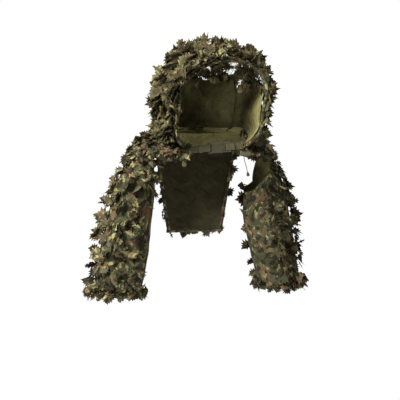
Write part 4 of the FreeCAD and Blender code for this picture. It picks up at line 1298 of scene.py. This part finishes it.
for side in (-1, 1):
    name, body = pair(side), f"{pair(side)}_sleeve"
    point = sleeve_point(side)
    bag, done = leaves(f"{name}_seam_leaves", body, 170 + side, (),
                       ("root", body, (side * 0.236, 0.012, 0.024), (side * 0.262, 0.012, -0.012)))
    for share, turn in ((0.15, 58.0), (0.55, 54.0), (0.95, 52.0)):
        for i in range(7):
            a = turn * (i / 3.0 - 1.0) + bag.rng.uniform(-5, 5)
            p = yoke_point(a, side * YOKE_OUTER, 0.001).lerp(point(a * 0.95, CAP_Z, 0.001), share)
            out = V((side * 0.75, math.sin(math.radians(a)), 0.55)).normalized()
            flow = V((side * 0.6, 0.25 * math.sin(math.radians(a)), -0.8))
            flow = (flow - out * flow.dot(out)).normalized()
            swing = math.radians(bag.rng.gauss(0.0, 40.0))
            flow = flow * math.cos(swing) + out.cross(flow) * math.sin(swing)
            rise = math.radians(bag.rng.uniform(6, 30))
            bag.add(p, *tipped(flow, out, rise), bag.rng.uniform(0.024, 0.036))
    done()
    bag, done = leaves(f"{name}_sleeve_cap_leaves", body, 180 + side, [f"{name}_sleeve_cap_leaf_strips"])
    cover(bag, point, lambda z: (-front_half(side, z) * (1.0 if side > 0 else 1.36), outer_half(z)),
          spread(-0.012, ARMPIT_Z, 5), 0.030, MID, 1.0, 0.07, lift=(6.0, 42.0), swing=42.0)
    done()
    sectors = (("front", -126.0, -60.0), ("outer", -60.0, 60.0), ("rear", 60.0, 126.0))
    for part, (where, a0, a1) in enumerate(sectors):
        bag, done = leaves(f"{name}_sleeve_{where}_leaves", body, 190 + part * 3 + side,
                           [f"{name}_sleeve_leaf_strips"] if part == 1 else ())
        for z in spread(ARMPIT_Z - 0.012, CUFF_Z + 0.040, 7):
            cover(bag, point, lambda z: (a0, a1), [z], 0.030, BIG, 0.95, 0.06, lift=(10.0, 70.0), swing=60.0)
            cover(bag, point, lambda z: (a0, a1), [z - 0.022], 0.060, MID, 0.7, 0.05, lift=(6.0, 40.0),
                  swing=60.0)
        done()
    bag, done = leaves(f"{name}_cuff_leaves", body, 210 + side, [f"{name}_cuff_leaf_fringe"])
    sizes = (0.026, 0.038) if side > 0 else (0.029, 0.042)
    for z in (CUFF_Z + 0.012, CUFF_Z + 0.002):
        cover(bag, point, lambda z: (-180.0, 178.0), [z], 0.026, sizes, 1.0, 0.08,
              lift=(2.0, 60.0 if side > 0 else 34.0), swing=35.0, depth=0.004)
    done()

# Neckline leaves along the collar.
for side in (-1, 1):
    mid = hood_point(side * edge_angle(-0.06), -0.06, 0.0) - SLANT * 0.006
    bag, done = leaves(f"{pair(side)}_collar_front_leaves", "root", 220 + side, (),
                       ("root", "hood", tuple(mid - SLANT * 0.012), tuple(mid + SLANT * 0.012)))
    cover(bag, hood_point, lambda y: (side * (edge_angle(y) - 1.5), side * (edge_angle(y) + 1.5)),
          spread(CHEST_Y + 0.004, NECK_LEVEL_Y, 9), 0.016, (0.024, 0.036), 1.0, 0.05, lift=(4.0, 22.0),
          swing=36.0)
    done()


# ---------------------------------------------------------------- chest strap

def band(name, body, node, path, width=WEB, thick=WEB_THICK):
    """Webbing along a path of (x, y) in the strap's frame, with rounded edges and woven ribs."""
    section = []
    for s in spread(-1.0, 1.0, 25):
        edge = math.sqrt(max(0.0, 1.0 - abs(s) ** 10))
        rib = 0.08 * math.cos(s * math.pi * 6)
        section.append((s * (width / 2.0), thick / 2.0 * (0.25 + 0.67 * edge + rib * edge), abs(s)))
    profile = section + [(z, -t, r) for z, t, r in reversed(section)]
    verts, cloth, rims = [], [], []
    along = 0.0
    for i, (x, y) in enumerate(path):
        before, after = around(path, i, False)
        dx, dy = after[0] - before[0], after[1] - before[1]
        size = math.hypot(dx, dy)
        if i:
            along += math.hypot(x - path[i - 1][0], y - path[i - 1][1])
        for z, t, r in profile:
            verts.append(chest(x + -dy / size * t, y + dx / size * t, z))
            cloth.append((z, along, 0.0))
            rims.append(r)
    obj = make_object(name, verts, ring_faces(len(path), len(profile)), cloth, None, rims, (WEBBING,))
    return attach(obj, body, [node])


def doubled(bar, long_end, short_end):
    """Path of webbing doubled round a bar."""
    way = math.copysign(1.0, long_end - bar)
    bend = [(bar - way * WEB_LAYER * math.sin(a), WEB_LAYER * math.cos(a))
            for a in spread(0.0, math.pi, 13)[1:-1]]
    return ([(x, WEB_LAYER) for x in spread(long_end, bar, 30)] + bend
            + [(x, -WEB_LAYER) for x in spread(bar, short_end, 16)])


band("strap_right_web", "root", "strap_right_webbing", doubled(-0.047, -0.138, -0.086))
band("strap_left_web_loop", "buckle_plug", "strap_left_loop", doubled(0.016, 0.0335, 0.046))
free_web = band("strap_left_web", "root", "strap_left_webbing",
                [(x, WEB_LAYER) for x in spread(0.034, 0.082, 25)])
tuple(chest(0.082, WEB_LAYER, 0.0))
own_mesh(free_web)
for name, x0 in (("right", -0.138), ("left", 0.070)):
    band(f"strap_{name}_anchor_patch", "root", f"strap_{name}_anchor",
         [(x, 0.0057) for x in spread(x0, x0 + 0.012, 9)], 0.031, 0.0018)
    corners = [(x0 + 0.002, -0.0105), (x0 + 0.010, -0.0105), (x0 + 0.010, 0.0105), (x0 + 0.002, 0.0105),
               (x0 + 0.002, -0.0105), (x0 + 0.010, 0.0105)]
    stitches(f"strap_{name}_box_stitching", "root",
             [chest(x, 0.0027, z) for x, z in corners], V((0, -1, 0)), 0.003, 0.0021)


def ring_band(name, node, loop, centre, axis_a, axis_b, axis_w, width, thick):
    """Closed band of webbing round a loop of (a, b) points."""
    verts, cloth, rims = [], [], []
    profile = [(-0.5, 0.3), (-0.47, 0.5), (-0.2, 0.46), (0.0, 0.52), (0.2, 0.46), (0.47, 0.5), (0.5, 0.3),
               (0.5, -0.3), (0.47, -0.5), (0.0, -0.5), (-0.47, -0.5), (-0.5, -0.3)]
    along = 0.0
    for i, (a, b) in enumerate(loop):
        before, after = around(loop, i, True)
        da, db = after[0] - before[0], after[1] - before[1]
        size = math.hypot(da, db)
        if i:
            along += math.hypot(a - loop[i - 1][0], b - loop[i - 1][1])
        for w, t in profile:
            out_a, out_b = a + db / size * t * thick, b + -da / size * t * thick
            verts.append(centre + axis_a * out_a + axis_b * out_b + axis_w * (w * width))
            cloth.append((w * width, along, 0.0))
            rims.append(abs(w) * 2.0)
    faces = ring_faces(len(loop), len(profile), True)
    obj = make_object(name, verts, faces, cloth, None, rims, (WEBBING,))
    attach(obj, "root", [node])


ALONG = V((math.cos(STRAP_TILT), 0.0, math.sin(STRAP_TILT)))
UPWARD = V((-math.sin(STRAP_TILT), 0.0, math.cos(STRAP_TILT)))
ring_band("strap_keeper_elastic", "strap_keeper_band",
          rounded_rectangle(-0.0137, 0.0137, -0.0054, 0.0054, 0.0028, 6),
          chest(-0.0795, 0.0, 0.0), UPWARD, V((0, 1, 0)), ALONG, 0.009, 0.0012)
ring_band("drawcord_keeper_web", "cord_keeper_loop",
          rounded_rectangle(-0.0192, 0.0192, -0.0023, 0.0023, 0.0021, 7),
          V((0.112, -0.1259, -0.01375)), V((1, 0, 0)), V((0, 1, 0)), V((0, 0, 1)), 0.0155, 0.0014)


def tail_web():
    """Round-ended tail of spare webbing."""
    x0, x1, z0, z1, y = -0.118, -0.102, -0.058, -0.016, -0.1128
    outline = rounded_rectangle(x0, x1, z0, z1, 0.006, 7)
    middle_x, middle_z = V(((x0 + x1) / 2, 0.0, (z0 + z1) / 2)).xz
    rings = ((0.0008, 0.5), (0.0008, 0.93), (0.0004, 1.0), (-0.0004, 1.0), (-0.0008, 0.93), (-0.0008, 0.5))
    verts, cloth, rims = [], [], []
    for depth, shrink in rings:
        for x, z in outline:
            px = middle_x + (x - middle_x) * shrink
            pz = middle_z + (z - middle_z) * (1 - (1 - shrink) * 0.4)
            wave = 0.0006 * math.sin((pz - z0) * 110.0)
            verts.append(V((px, y - depth + wave, pz)))
            cloth.append((px, pz, depth))
            rims.append(shrink)
    faces = ring_faces(len(rings), len(outline))
    obj = make_object("strap_tail_web", verts, faces, cloth, None, rims, (WEBBING,))
    attach(obj, "root", ["strap_tail"])


tail_web()

for node, material in (("buckle_socket", BUCKLE), ("buckle_plug", BUCKLE), ("buckle_upper_arm", BUCKLE),
                       ("buckle_lower_arm", BUCKLE), ("drawcord_bell", CORD_END)):
    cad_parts[node].data.materials.clear()
    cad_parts[node].data.materials.append(material)


# ---------------------------------------------------------------- final scene update

bpy.context.view_layer.update()
